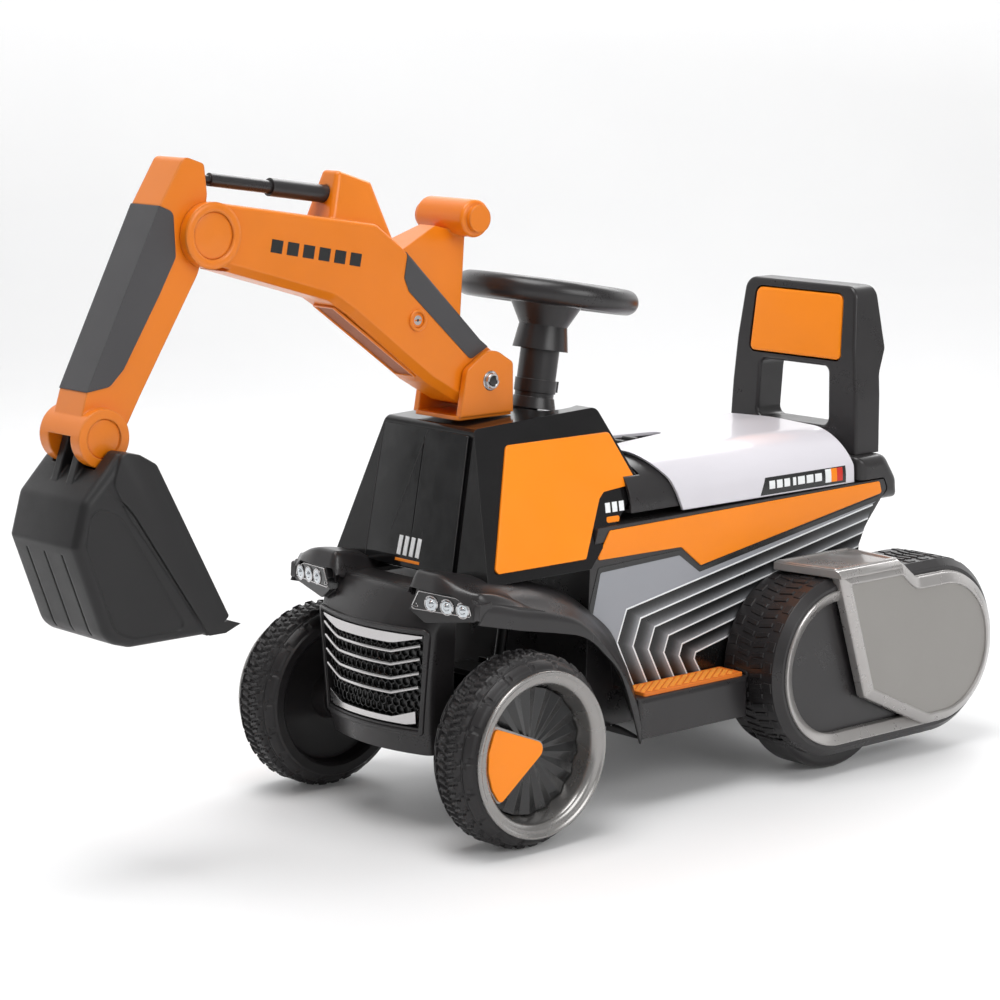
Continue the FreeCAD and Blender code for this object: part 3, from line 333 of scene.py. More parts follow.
def tube(path, radius, sides=10, closed=False):
    """A round bar that follows a path of points."""
    points = [Vector(p) for p in path]
    count = len(points)
    rings = []
    for i in range(count):
        before = points[i - 1] if i or closed else points[i]
        after = points[(i + 1) % count] if i < count - 1 or closed else points[i]
        along = (after - before).normalized()
        across = along.cross(Vector((0, 0, 1)) if abs(along.z) < 0.9 else Vector((1, 0, 0))).normalized()
        up = across.cross(along)
        grow = 1.0
        if 0 < i < count - 1 or closed:
            first, second = points[i] - before, after - points[i]
            grow = 1 / max(math.cos(first.angle(second, 0) / 2), 0.6)
        ring = []
        for k in range(sides):
            angle = 2 * math.pi * k / sides
            ring.append(points[i] + (across * math.cos(angle) * grow + up * math.sin(angle)) * radius)
        rings.append(ring)
    if closed:
        rings.append(rings[0])
    return ring_skin(rings, closed_ends=not closed)


def both(*shapes):
    """Several shapes as one."""
    verts, faces = [], []
    for more_verts, more_faces in shapes:
        start = len(verts)
        verts += list(more_verts)
        faces += [tuple(start + i for i in face) for face in more_faces]
    return verts, faces


def flipped(shape):
    """A shape mirrored across the object's middle."""
    verts, faces = shape
    return [(-v[0], v[1], v[2]) for v in verts], [tuple(face[::-1]) for face in faces]


def mirror_pair(shape):
    return both(shape, flipped(shape))


def clean_object(name, points, faces, gap):
    """A new object whose points nearer than a gap are merged and whose faces look outwards."""
    mesh = bpy.data.meshes.new(name)
    mesh.from_pydata(points, [], faces)
    work = bmesh.new()
    work.from_mesh(mesh)
    bmesh.ops.remove_doubles(work, verts=work.verts, dist=gap)
    bmesh.ops.recalc_face_normals(work, faces=work.faces)
    work.to_mesh(mesh)
    work.free()
    return in_scene(name, mesh)


def piece(name, shape, material, body, slot, smooth=35, bevel=0.0, replaces=(), segments=3):
    """A new visible piece made from a shape, riding on a CAD body."""
    verts, faces = shape
    obj = clean_object(name, [spot(*v) for v in verts], faces, 1e-6)
    mesh = obj.data
    mesh.polygons.foreach_set("use_smooth", [True] * len(mesh.polygons))
    mesh.set_sharp_from_angle(angle=math.radians(smooth))
    mesh.materials.append(material)
    if bevel:
        rounding = obj.modifiers.new("rounding", "BEVEL")
        rounding.width = bevel / 1000
        rounding.segments = segments
        rounding.limit_method = "ANGLE"
        rounding.angle_limit = math.radians(smooth)
        rounding.harden_normals = True
    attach(obj, body)
    if replaces:
        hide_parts(*replaces)
    return obj


def twins(name, shape, material, body, slot, **more):
    """One piece made of a shape on the left and its mirror image on the right."""
    return piece(name, mirror_pair(shape), material, body, slot, **more)


def two_sides(name, shape, material, bodies, slot, replaces=None, **more):
    """Two pieces on bodies of their own: a shape on the left, its mirror image on the right."""
    for side, half, body in zip(("_left", "_right"), (shape, flipped(shape)), bodies):
        piece(name + side, half, material, body, slot, replaces=[replaces + side] if replaces else (), **more)


def inset(corners, distance):
    """An outline moved inwards; its corners (a, b, radius) run anticlockwise."""
    moved = []
    for i in range(len(corners)):
        here, radius = corner_at(corners, i)
        before = (here - corner_at(corners, i - 1)[0]).normalized()
        after = (corner_at(corners, i + 1)[0] - here).normalized()
        first, second = Vector((-before.y, before.x)), Vector((-after.y, after.x))
        step = (first + second) * (distance / (1 + first.dot(second)))
        hollow = before.x * after.y - before.y * after.x < 0
        if radius:
            radius = max(radius + (distance if hollow else -distance), 0.3)
        moved.append((here.x + step.x, here.y + step.y, radius))
    return moved


def stepped(corners, axis, levels, steps=6):
    """A solid whose skin passes through an outline's insets, each (distance, place on the axis).

    Levels that end where they begin make a ring instead.
    """
    rings = [on_axis(axis, place, rounded(inset(corners, distance), steps)) for distance, place in levels]
    return ring_skin(rings, closed_ends=levels[0] != levels[-1])


def leaning(shape, side):
    """A shape whose x is a height over a side wall, laid onto that wall; side gives its x at (y, z)."""
    verts, faces = shape
    return [(side(y, z) + x, y, z) for x, y, z in verts], faces


def wall_film(name, shape, side, material, slot="decal", **more):
    """A piece laid onto the left and right side walls of the main body."""
    return twins(name, leaning(shape, side), material, "main", slot, **more)


def ribbon(points, width):
    """A flat line of a given width along points (a, b), as an outline."""
    left, right = [], []
    for i, point in enumerate(points):
        here = Vector(point)
        before = (here - Vector(points[i - 1])).normalized() if i else None
        after = (Vector(points[i + 1]) - here).normalized() if i < len(points) - 1 else None
        before, after = before or after, after or before
        first, second = Vector((-before.y, before.x)), Vector((-after.y, after.x))
        step = (first + second) * (width / 2 / (1 + first.dot(second)))
        left.append(tuple(here + step))
        right.append(tuple(here - step))
    return left + right[::-1]


def strip(left, right, low, high):
    """A thin strip between two rows of (y, z) points, from one height to another over the wall."""
    return ring_skin([[(low, *a), (high, *a), (high, *b), (low, *b)] for a, b in zip(left, right)])


def smooth_curve(points, steps):
    """A smooth curve through points (Catmull-Rom), with its ends kept."""
    rows = [Vector(p) for p in points]
    rows = [rows[0] * 2 - rows[1]] + rows + [rows[-1] * 2 - rows[-2]]
    curve = []
    for i in range(1, len(rows) - 2):
        a, b, c, d = rows[i - 1:i + 3]
        for k in range(steps):
            t = k / steps
            curve.append(0.5 * (2 * b + (c - a) * t + (2 * a - 5 * b + 4 * c - d) * t * t
                                + (3 * b - 3 * c + d - a) * t ** 3))
    curve.append(rows[-2])
    return curve


def carved(shape, cutters=(), added=(), kept=()):
    """A shape with other shapes cut away, after more are joined on; kept bounds what stays."""
    def stand_in(part):
        verts, faces = part
        return clean_object("stand_in", [Vector(v) / 1000 for v in verts], faces, 1e-7)

    block = stand_in(shape)
    helpers = []
    for operation, parts in (("UNION", added), ("DIFFERENCE", cutters), ("INTERSECT", kept)):
        for part in parts:
            helpers.append(stand_in(part))
            step = block.modifiers.new("step", "BOOLEAN")
            step.operation = operation
            step.solver = "EXACT"
            step.object = helpers[-1]
    bpy.context.view_layer.update()
    result = block.evaluated_get(bpy.context.evaluated_depsgraph_get()).to_mesh()
    verts = [tuple(v.co * 1000) for v in result.vertices]
    faces = [tuple(p.vertices) for p in result.polygons]
    for obj in [block] + helpers:
        bpy.data.objects.remove(obj)
    return verts, faces


def smooth_step(value, low, high):
    share = min(max((value - low) / (high - low), 0), 1)
    return share * share * (3 - 2 * share)


def swell(value, low, rise, fall, high):
    """1 between rise and fall, 0 outside low to high, with soft sides."""
    return smooth_step(value, low, rise) * (1 - smooth_step(value, fall, high))


def pulse(phase, duty, ramp):
    """1 inside the duty share of each turn of phase, 0 outside, with soft sides."""
    return swell(phase % 1, 0, ramp, duty - ramp, duty)


# ---- Front wheels ----
WHEEL_BODIES = ("left_front_wheel", "right_front_wheel")


def tread_height(place, phase):
    """Height of the tread at a place across the tyre, -1 to 1, and a phase counted in lugs."""
    share = abs(place)
    rib = pulse(2 * phase + 0.5 * (place > 0) + share, 0.6, 0.1) * swell(share, 0.03, 0.06, 0.36, 0.39)
    lug_shift, block_shift = 0.2 * (share > 0.5), 0.16 * (share > 0.76)
    middle_lug = pulse(phase + lug_shift, 0.66, 0.05) * swell(share, 0.41, 0.44, 0.55, 0.58)
    ridge = swell(share, 0.585, 0.6, 0.63, 0.65)
    block = pulse(phase / 2 + block_shift, 0.84, 0.04) * swell(share, 0.67, 0.69, 0.9, 0.93)
    lip = smooth_step(share, 0.95, 0.97)
    return 2.8 * rib + 3.3 * middle_lug + 1.5 * ridge + 2.2 * block + 0.4 * lip


def front_tyres():
    middle, half_width, crown = 162.5, 31.5, 97.2
    across_steps, lugs, per_lug = 64, 36, 14
    inner = [(194, 73.7), (156, 73.7), (156, 16), (171, 15), (171, 8.3), (131, 8.3), (131, 22),
             (148, 26), (148, 66), (146, 70), (134, 73), (131.2, 76)]
    skin = []
    for k in range(across_steps + 1):
        across = -half_width + 2 * half_width * k / across_steps
        share = abs(across) / half_width
        drop = 3.2 * smooth_step(share, 0.42, 0.62) + 9.4 * max(share - 0.58, 0) ** 1.6 / 0.42 ** 1.6
        skin.append((across, crown - drop))
    rings = []
    for k in range(lugs * per_lug):
        angle = 2 * math.pi * k / (lugs * per_lug)
        outer = [(middle + across, radius + tread_height(across / half_width, k / per_lug))
                 for across, radius in skin]
        rings.append([around(HUB, x, radius, angle) for x, radius in outer + inner])
    tyre = ring_skin(rings + rings[:1], closed_ends=False)
    two_sides("tread_tyre", tyre, tyre_black, WHEEL_BODIES, "tyre_black", "front_tyre", smooth=32)


def front_rims():
    rim = [(194.3, 73.7), (194.3, 85.2), (196.5, 86), (198.6, 86), (199.3, 85.2), (199.4, 84), (198.9, 82.6),
           (198, 81.6), (197.6, 80.4), (197.4, 78), (196.6, 75.4), (195.4, 73.2), (193, 71.6), (189.5, 70.4),
           (184, 69), (178, 67.6), (174, 66.6), (172, 66.4), (171.8, 67.5), (171.8, 73.7)]
    two_sides("rim", turned(rim, HUB, 128), rim_silver, WHEEL_BODIES, "silver", "front_rim", smooth=50)


def pleated_discs():
    pleats, face_x, back_x = 18, 175.6, 171.4
    rings = []
    for radius, lift in ((9, 0), (16, 0.4), (34, 0.9), (52, 1.4), (65.8, 1.7)):
        ring = []
        for k in range(pleats * 2):
            high = lift if k % 2 else -lift
            ring.append(around(HUB, face_x + high, radius, math.pi * k / pleats))
        rings.append(ring)
    wide_back, small_back = ([(back_x, y, z) for _, y, z in ring] for ring in (rings[-1], rings[0]))
    fan = ring_skin([small_back] + rings + [wide_back, small_back], closed_ends=False)
    cap = turned([(172, 0.01), (178.5, 0.01), (179.2, 4), (178.6, 8), (176, 10.5), (172, 11)], HUB, 48)
    two_sides("pleated_disc", both(fan, cap), gloss_black, WHEEL_BODIES, "black_gloss", "wheel_fan",
              smooth=10, bevel=0.5, segments=2)


def wheel_sectors():
    def sector(hub_out, edge_r, widen, low, high):
        corners = [(16 + hub_out, WHEEL_Z + 7, 9)]
        for degrees in (148 - widen, 170, 187, 204, 221 + widen * 0.3):
            turn = math.radians(degrees)
            radius = 5 if degrees < 149 or degrees > 220 else 0
            corners.append((edge_r * math.cos(turn), WHEEL_Z + edge_r * math.sin(turn), radius))
        return prism(corners, "x", low, high)

    edge = sector(2.4, 68.4, 2.4, 182.5, 187.6)
    two_sides("sector_frame", edge, rim_silver, WHEEL_BODIES, "silver", bevel=0.9)
    plate = both(sector(0, 66.4, 0, 186, 190.2), drum(177, 186.5, 7.5, (-26, WHEEL_Z - 1), 32))
    two_sides("sector_plate", plate, panel_orange, WHEEL_BODIES, "orange", "wheel_badge", bevel=0.9)


front_tyres()
front_rims()
pleated_discs()
wheel_sectors()


# ---- Grille and lamps ----
def nose_front(x, z, depth):
    """How far forward the bowed nose is at a place on its front, less a depth."""
    low, high = 112.0, 214.0
    share = (z - low) / (high - low)
    half, side_y, middle_y = 86 + 6 * share, -54 - 2 * share, -72 - 4 * share
    return middle_y + (side_y - middle_y) * (x / half) ** 2 + depth


def on_nose(points, depth):
    """Flat (x, z) points laid on the bowed nose, at a depth behind its front."""
    return [(x, nose_front(x, z, depth), z) for x, z in points]


def hex_mesh():
    pitch, wall = 9.0, 0.85
    rise, reach = pitch * math.sqrt(3) / 2, pitch / math.sqrt(3)
    turns = [math.radians(60 * k + 30) for k in range(6)]
    cells = []
    for row in range(-2, 14):
        z = 113 + row * rise
        for column in range(-11, 12):
            x = column * pitch + (pitch / 2 if row % 2 else 0)
            if abs(x) > 78 + 0.09 * (z - 114) or not 110 <= z <= 218:
                continue
            outer, inner = ([(x + r * math.cos(a), z + r * math.sin(a)) for a in turns]
                            for r in (reach, reach - wall))
            rings = [on_nose(inner, 9.6), on_nose(inner, 7.0), on_nose(outer, 6.4), on_nose(outer, 9.6)]
            cells.append(ring_skin(rings, closed_ends=False))
    piece("hex_mesh", both(*cells), gloss_black, "main", "black_gloss", replaces=["grille_mesh"], smooth=20)

    # A black sheet behind the mesh: painted shade that stands for the dark inside of the nose.
    backing = []
    for k in range(13):
        x = -80 + 160 * k / 12
        backing.append(on_nose([(x, 110), (x, 216)], 10.5) + on_nose([(x, 216), (x, 110)], 11.5))
    piece("mesh_shade_backing", ring_skin(backing), film_black, "main", "black_gloss")


def grille_brightwork():
    """Four bent bars with a crescent plate above and a trough plate below."""
    shapes = []
    for z in (198, 184, 169, 154):
        half = 71 + (z - 114) * 0.09
        bend = half * 0.55
        corners = [(-half, z + 3.4), (-bend, z - 6.4), (bend, z - 6.4), (half, z + 3.4)]
        path = []
        for (x0, z0), (x1, z1) in zip(corners, corners[1:]):
            path += [(x0 + (x1 - x0) * k / 6, z0 + (z1 - z0) * k / 6) for k in range(6)]
        shapes.append(tube(on_nose(path + corners[-1:], 1.4), 1.9))
    crescent, trough = [], []
    for k in range(25):
        x = -81 + 162 * k / 24
        crescent.append((x, min(200.5 + max(abs(x) - 44, 0) * 8.5 / 37, 210.6), 211.5))
        x *= 70 / 81
        trough.append((x, 116 + max(abs(x) - 60, 0) * 0.25, 122.5 + max(abs(x) - 42, 0) * 9 / 28))
    for outline in (crescent, trough):
        shapes.append(ring_skin([on_nose([(x, top), (x, low)], 0.2) + on_nose([(x, low), (x, top)], 4.2)
                                 for x, low, top in outline]))
    piece("grille_brightwork", both(*shapes), chrome, "main", "chrome_plated", replaces=["grille_bars"],
          smooth=40, bevel=0.35, segments=2)


def lamp_spot(x, forward, z):
    """A point on the left lamp, from its own axes."""
    turn = math.radians(12)
    return (64 + x * math.cos(turn) - forward * math.sin(turn),
            -59 + x * math.sin(turn) + forward * math.cos(turn), 247 + z)


def lens_circle(x, z, radius, forward, ripple=0.0):
    """A circle round a lens, on the lamp's own axes; ripple gives it seven facets."""
    points = []
    for k in range(28):
        angle = 2 * math.pi * k / 28
        reach = radius * (1 + ripple * math.cos(angle * 7))
        points.append(lamp_spot(x + reach * math.cos(angle), forward, z + reach * math.sin(angle)))
    return points


def lamps():
    outline = [(2.5, -7.6, 2.4), (80, -7.6, 2.4), (76.6, 3.4, 2.4), (59.5, 9.6, 2.4), (13, 11.4, 2.4)]
    edges = [tube([lamp_spot(x, -5.3, z) for x, z in rounded(outline, 3)], 0.75, 8, closed=True),
             tube([lamp_spot(x, -5.3, z) for x, z in ((5, -4.6), (12, -5.2), (9.5, -1.5))], 0.6, 8)]
    dome = ((7.9, -3.2), (7.7, -5.2), (7.0, -6.0), (5.6, -6.4), (4.2, -6.2), (3.4, -7.3), (2.2, -8.2),
            (0.8, -8.6))
    domes = []
    for x, z in ((29, 0), (49, -1), (69, -2)):
        edges.append(tube(lens_circle(x, z, 8, -5.4), 0.9, 8, closed=True))
        domes.append(ring_skin([lens_circle(x, z, radius, forward, 0.05 * (radius > 3.6))
                                for radius, forward in dome]))
    twins("lamp_bright_edges", both(*edges), chrome, "main", "chrome_plated", smooth=60)
    twins("lamp_domes", both(*domes), lamp_glass, "main", "lens",
          replaces=["headlight_lenses"], smooth=30)


hex_mesh()
grille_brightwork()
lamps()


# ---- Body sides ----
def body_side(y, z):
    """The body shell's side wall at a height."""
    return 107.5 + 0.046 * (z - 84)


def body_films():
    ground = [(141, 220), (141, 200), (172, 176, 2), (180, 124, 2), (560, 124), (560, 241), (594, 288, 2),
              (304, 241, 3), (273, 264, 3), (152, 260, 3)]
    wall_film("side_ground_film", prism(ground, "x", 0, 0.5), body_side, film_black,
              replaces=["side_decals"])
    grey = [(145, 204), (173, 179, 2), (183, 174), (195, 209), (575, 276.6), (585, 281), (303, 235.5, 3),
            (271, 258, 3), (155, 254, 3)]
    wall_film("side_grey_film", prism(grey, "x", 0.1, 0.62), body_side, film_grey)

    lines = []
    for k in range(6):
        end = 580 - 7 * k if k < 4 else 557
        rise = 0.178 + 0.008 * k
        upper_y, upper_z = 195 + 21.5 * k, 209 - 12.6 * k
        lines.append([(212 + 20.3 * k, 119), (183 + 23.5 * k, 174 - 7 * k), (upper_y, upper_z),
                      (end, upper_z + rise * (end - upper_y))])
        line = prism(ribbon(lines[k], 1.8), "x", 0.1, 0.8)
        wall_film("side_white_line_" + str(k + 1), line, body_side, film_white)
    for k in range(5):
        band = strip(lines[k], lines[k + 1], 0.1, 0.66)
        obj = wall_film("side_fading_band_" + str(k + 1), band, body_side, striped_film)
        shade = obj.data.attributes.new("shade", "FLOAT", "POINT")
        for i in range(len(obj.data.vertices)):
            shade.data[i].value = 0.0 if i % 4 < 2 else 1.0

    trim = [(166, 298, 3), (148, 268, 3), (273, 267, 3), (304, 243, 3), (594, 290, 3), (589, 304, 3)]
    panel = stepped(trim, "x", [(0, 0), (0, 1.1), (0.5, 1.6), (4, 1.75)])
    wall_film("side_orange_band", panel, body_side, panel_orange, "orange", replaces=["side_trims"])


body_films()


# ---- Foot mats ----
def foot_mats():
    bars, grounds = [], []
    back_y, pitch_x, pitch_y = 338, 8.0, 11.0
    for side, front_y in ((1, 189), (-1, 262)):
        x_low, x_high = sorted((side * 113, side * 149))
        outline = [(x_low, front_y, 3), (x_high, front_y, 3), (x_high, back_y, 3), (x_low, back_y, 3)]
        grounds.append(stepped(outline, "z", [(0, 121), (0, 123.2), (0.8, 124)]))
        grounds.append(stepped(outline, "z", [(0, 123.5), (0, 124.6), (0.5, 125), (2, 125), (2.2, 124),
                                              (2.2, 123.5), (0, 123.5)]))
        for row in range(int((x_high - x_low - 5) / (pitch_x / 2))):
            x = x_low + 3.6 + row * pitch_x / 2
            y = front_y + 4.6 + (pitch_y / 2 if row % 2 else 0)
            while y < back_y - 4:
                rings = []
                for share, z in ((0.8, 123.6), (0.58, 125.0)):
                    dx, dy = pitch_x * share / 2, pitch_y * share / 2
                    rings.append([(x, y - dy, z), (x + dx, y, z), (x, y + dy, z), (x - dx, y, z)])
                bars.append(ring_skin(rings))
                y += pitch_y
    # The mat's base is painted darker than the diamonds as painted shade.
    piece("foot_mat_base", both(*grounds), mat_ground_shaded, "main", "mat_orange", replaces=["footboard_pads"])
    piece("foot_mat_diamonds", both(*bars), mat_orange, "main", "mat_orange", smooth=20)


foot_mats()


# ---- Rear track pods ----
POD_FRONT, POD_BACK, POD_Z = 443, 608, 122
TRACK_RADIUS = 100
TRACK_LENGTH = 958.3    # once round the pod
TRACK_END = 707.95      # the furthest back that the tread reaches


def track_place(run, radius):
    """The (y, z) place at a distance along the track, from the low front, and at a radius."""
    straight = POD_BACK - POD_FRONT
    half, run = divmod(run, straight + math.pi * TRACK_RADIUS)
    turn = max(run - straight, 0) / TRACK_RADIUS
    place = Vector((POD_FRONT + min(run, straight) + radius * math.sin(turn),
                    POD_Z - radius * math.cos(turn)))
    return Vector((POD_FRONT + POD_BACK, 2 * POD_Z)) - place if half else place


def lug(run, x_low, x_high, wide, lean, height):
    """A raised tread bar across the track; lean shifts its outer end along the track."""
    rings, slope = [], 0.8
    for grow, radius in ((slope, TRACK_RADIUS - 0.4), (0, TRACK_RADIUS + height)):
        low, high, half = x_low + slope - grow, x_high - slope + grow, wide / 2 + grow
        ring = []
        for x, along in ((low, -half), (high, lean - half), (high, lean + half), (low, half)):
            place = track_place((run + along) % TRACK_LENGTH, radius)
            ring.append((x, min(place.x, TRACK_END), place.y))
        rings.append(ring)
    return ring_skin(rings)


def tread_lugs():
    bars = []
    count = 84
    for i in range(count):
        run = TRACK_LENGTH * i / count
        place = track_place(run, TRACK_RADIUS)
        if place.y < 40 and 380 < place.x < 560:
            continue
        bars += [lug(run, 133, 151, 4.4, 3.0, 1.5), lug(run + 4.2, 154, 172, 4.4, -3.0, 1.5)]
        if i % 2:
            bars += [lug(run + 2, 175, 185.5, 10, 0, 1.1), lug(run + 2, 118, 129.5, 10, 0, 1.1)]
    twins("track_lugs", both(*bars), tyre_black, "main", "charcoal", smooth=25)


def pod_ring():
    reach = 87.4
    corners = ((POD_FRONT, -1, -1), (POD_BACK, 1, -1), (POD_BACK, 1, 1), (POD_FRONT, -1, 1))
    outline = [(y + out * reach, POD_Z + up * reach, reach - 0.1) for y, out, up in corners]
    levels = [(0, 185), (0, 196.6), (0.5, 197.6), (1.8, 198), (3.2, 197.4), (12.4, 193.2), (13, 192.2),
              (13, 185), (0, 185)]
    ring = stepped(outline, "x", levels, 40)
    twins("track_rings_bright", ring, ring_silver, "main", "silver", replaces=["track_rings"])


def pod_deck():
    """The cover's top plate, whose outer end is a little shorter."""
    low_x, high_x = 118.5, 206
    profile = [(low_x, 223.5, 0.6), (high_x, 223.5, 0.6), (high_x, 233, 8.5), (low_x, 233, 0.6)]
    rings = []
    for inner, share in ((0.9, 0), (0, 0.012), (0, 0.988), (0.9, 1)):
        ring = []
        for x, z in rounded(profile, 10):
            across = (x - low_x) / (high_x - low_x)
            front, back = 416 + 14 * across, 536 - 6 * across
            ring.append((x, front + (back - front) * share, z - (inner if z > 228 else -inner)))
        rings.append(ring)
    return ring_skin(rings)


def pod_covers():
    outline = [(431.5, 228, 3), (478, 83, 8), (580, 36, 30), (694, 36, 85), (694, 208, 85), (562, 208, 14),
               (537, 228, 10)]
    rim = stepped(outline, "x", [(0, 190), (0, 199.6), (0.6, 201), (2, 202.2), (9.6, 205.6), (10.8, 206),
                                 (12, 205.7), (12.8, 204.8), (13.2, 202), (13.2, 190), (0, 190)], 14)
    panel = stepped(outline, "x", [(12.9, 192), (12.9, 203.4)], 14)
    border = stepped([(119.5, 417.2, 2), (200, 429.4, 4), (200, 530, 4), (119.5, 535, 2)], "z",
                     [(0, 232.4), (0, 233.6), (0.6, 234.4), (1.4, 234.6), (5, 234.6), (6, 233.4), (6, 232.4),
                      (0, 232.4)])
    bodies = ("main", "main")
    two_sides("pod_cover", both(rim, pod_deck(), border), ring_silver, bodies, "silver", "track_cover",
              smooth=30)
    two_sides("pod_cover_panel", panel, panel_silver, bodies, "silver")


tread_lugs()
pod_ring()
pod_covers()


# ---- Cab ----
def cab_side(y, z):
    return 70.5 + 0.358 * (414 - z)


def cab_front(x, z, out):
    """The cab's sloping front at a height, and a little in front of it."""
    return (x, -12.3 + (z - 264) * 0.1807 - out, z)


def cab_front_bar(points, width, out):
    """A thin raised line on the cab's front through (x, z) points."""
    outline = ribbon(points, width)
    low = [cab_front(x, z, -0.3) for x, z in outline]
    high = [cab_front(x, z, out) for x, z in outline]
    return ring_skin([low, high])


def cab_details():
    outline = [(2, 273, 4), (128, 273, 4), (165.5, 330, 5), (173.5, 336, 5), (224, 340, 7), (200, 395, 5),
               (55, 395, 7)]
    wall_film("cab_orange_panels", stepped(outline, "x", [(0, 0), (0, 1.8), (0.5, 2.4), (1.2, 2.5)]),
              cab_side, panel_orange, "orange", replaces=["cab_side_panels"])
    blocks = []
    for y in (171, 181, 191):
        block = [(y, 314.5), (y + 7, 314.5), (y + 9, 324.5), (y + 2, 324.5)]
        blocks.append(prism(block, "x", -0.2, 0.35))
    wall_film("cab_badge_blocks", both(*blocks), cab_side, film_white)
    capsule = prism([(169, 304.5, 2), (187, 304.5, 2), (190, 310.5, 2), (171, 310.5, 2)], "x", -0.2, 0.35)
    wall_film("cab_badge_capsule", capsule, cab_side, panel_orange)
    marks = [cab_front_bar([(x, 276), (x + 1.5, 296)], 6, 0.35) for x in (-17, -7, 3, 13)]
    piece("cab_front_marks", both(*marks), film_white, "main", "decal")
    under = cab_front_bar([(-21, 271), (18, 271)], 3, 0.35)
    piece("cab_front_underline", under, panel_orange, "main", "decal")
    seams = [cab_front_bar([(4.6, 408), (-34, 300)], 0.9, 0.12),
             cab_front_bar([(17, 304), (13, 268)], 0.9, 0.12)]
    for side in (-1, 1):
        seams.append(cab_front_bar([(side * 70.6, 266), (side * 67.6, 407)], 1.2, 0.2))
    piece("cab_front_seams", both(*seams), tyre_black, "main", "black_gloss")


cab_details()


# ---- Seat ----
def seat_side(y, z):
    """The saddle's side and its rounded shoulder at a height."""
    return 61.7 + math.sqrt(52 ** 2 - max(z - 314.5, 0) ** 2)


def seat_film(front, back, low, high, lean, out):
    """A thin film on the saddle's side between two heights; lean slants its front edge."""
    rings = []
    for k in range(9):
        z = low + (high - low) * k / 8
        y = front + lean * k / 8
        x = seat_side(y, z)
        rings.append([(x - 0.4, y, z), (x + out, y, z), (x + out, back, z), (x - 0.4, back, z)])
    return ring_skin(rings)


def seat_labels():
    twins("seat_label", seat_film(398, 537, 308, 329, 9, 0.35), film_black, "seat", "decal")
    bars = []
    for start, width in ((412, 9), (424, 9), (436, 9), (450, 5), (458, 11), (472, 11), (486, 11)):
        bars.append(seat_film(start, start + width, 314, 323, 0, 0.5))
    twins("seat_label_bars", both(*bars), film_white, "seat", "decal")
    for name, start, material in (("white", 503, film_white), ("orange", 512.5, panel_orange),
                                  ("red", 522, film_red)):
        twins("seat_label_" + name, seat_film(start, start + 9.5, 311, 326, 0, 0.55), material,
              "seat", "decal")
    wedge = [(-32.5, 236, 2), (32.5, 236, 2), (0, 377, 6)]
    ridges = []
    for k in range(3):
        y = 252 + 26 * k
        half = 32.5 * (377 - y) / 141 - 5
        ridges.append(stepped([(-half, y, 2), (half, y, 2), (half - 3, y + 9, 2), (-half + 3, y + 9, 2)], "z",
                              [(0, 360), (0, 368.6), (1.5, 370)]))
    insert = stepped(wedge, "z", [(0, 341), (0, 364.5), (1, 365.5)])
    piece("seat_notch_insert", both(insert, *ridges), soft_charcoal, "seat", "charcoal")


seat_labels()


# ---- Backrest ----
def backrest_pad():
    outline = [(-71.5, 439.5, 7), (71.5, 439.5, 7), (67.5, 514.5, 9), (-67.5, 514.5, 9)]
    verts, faces = stepped(outline, "y", [(0.4, 12), (0.4, 1), (0.8, 0.2), (1.8, -0.3), (4, -0.5)])
    leant = [(x, 570.4 + (z - 439) * 0.102 + y, z) for x, y, z in verts]
    piece("backrest_orange_pad", (leant, faces), panel_orange, "main", "orange", replaces=["backrest_pad"])


backrest_pad()


# ---- Fenders and lamp hoods ----
FENDER_TOP = [(-58, 259), (-20, 263), (20, 262), (58, 256), (97, 242), (137, 215), (173, 181), (186, 128)]
FENDER_CREASE = [(-56, 254), (-20, 250), (12, 241), (58, 231), (100, 214), (146, 168), (174, 122), (183, 90)]
FENDER_LIP = [(-71, 238), (-30, 228), (13.5, 218), (60, 209), (97, 199), (125, 178), (152, 146), (178, 72)]


def fenders():
    """A smooth skin over each fender, from its inner edge round the crease to the lip."""
    steps = 7
    tops = smooth_curve(FENDER_TOP, steps)
    creases = smooth_curve(FENDER_CREASE, steps)
    lips = smooth_curve(FENDER_LIP, steps)
    hub = Vector((0, WHEEL_Z))
    rings = []
    for top, crease, lip in list(zip(tops, creases, lips))[4:]:
        up, out = (top - hub).normalized(), (crease - hub).normalized()
        middle = (top + crease) / 2 + out * 3.2
        near, far = (top * 3 + crease) / 4 + up * 1.6, (top + crease * 3) / 4 + out * 2.8
        path = [(88, top + up * 0.4), (118, top + up * 0.8), (126, near), (134, middle), (142, far),
                (148.5, crease + out * 0.9), (152.5, crease - out * 1.2), (154.4, crease - out * 4),
                (154.7, crease * 0.55 + lip * 0.45), (154.6, lip + (crease - lip).normalized() * 0.5),
                (152, lip + (crease - lip).normalized() * 0.5), (151.5, crease - out * 7),
                (144, crease - out * 3.5), (118, top - up * 3.5), (88, top - up * 3.5)]
        rings.append([(x, point.x, point.y) for x, point in path])
    twins("fender_skins", ring_skin(rings), charcoal, "main", "charcoal", smooth=50)


def hood_height(x, y):
    """Height of the lamp hood's surface at a place on the fender."""
    y_in = max(y, FENDER_TOP[0][0])
    for i in range(3):
        (start, top), (end, next_top) = FENDER_TOP[i:i + 2]
        if start <= y_in <= end:
            part = (y_in - start) / (end - start)
            top_z = top * (1 - part) + next_top * part
            crease_z = FENDER_CREASE[i][1] * (1 - part) + FENDER_CREASE[i + 1][1] * part
    share = smooth_step(x, 118, 150)
    base = top_z * (1 - share) + crease_z * share
    base = 255 + (base - 255) * smooth_step(x, 66, 92)
    crest = swell(x, 59, 65.8, 146, 152.5) * (1 - smooth_step(y, -52, 36))
    return base + (277.2 - 14 * smooth_step(x, 94, 148) - base) * crest


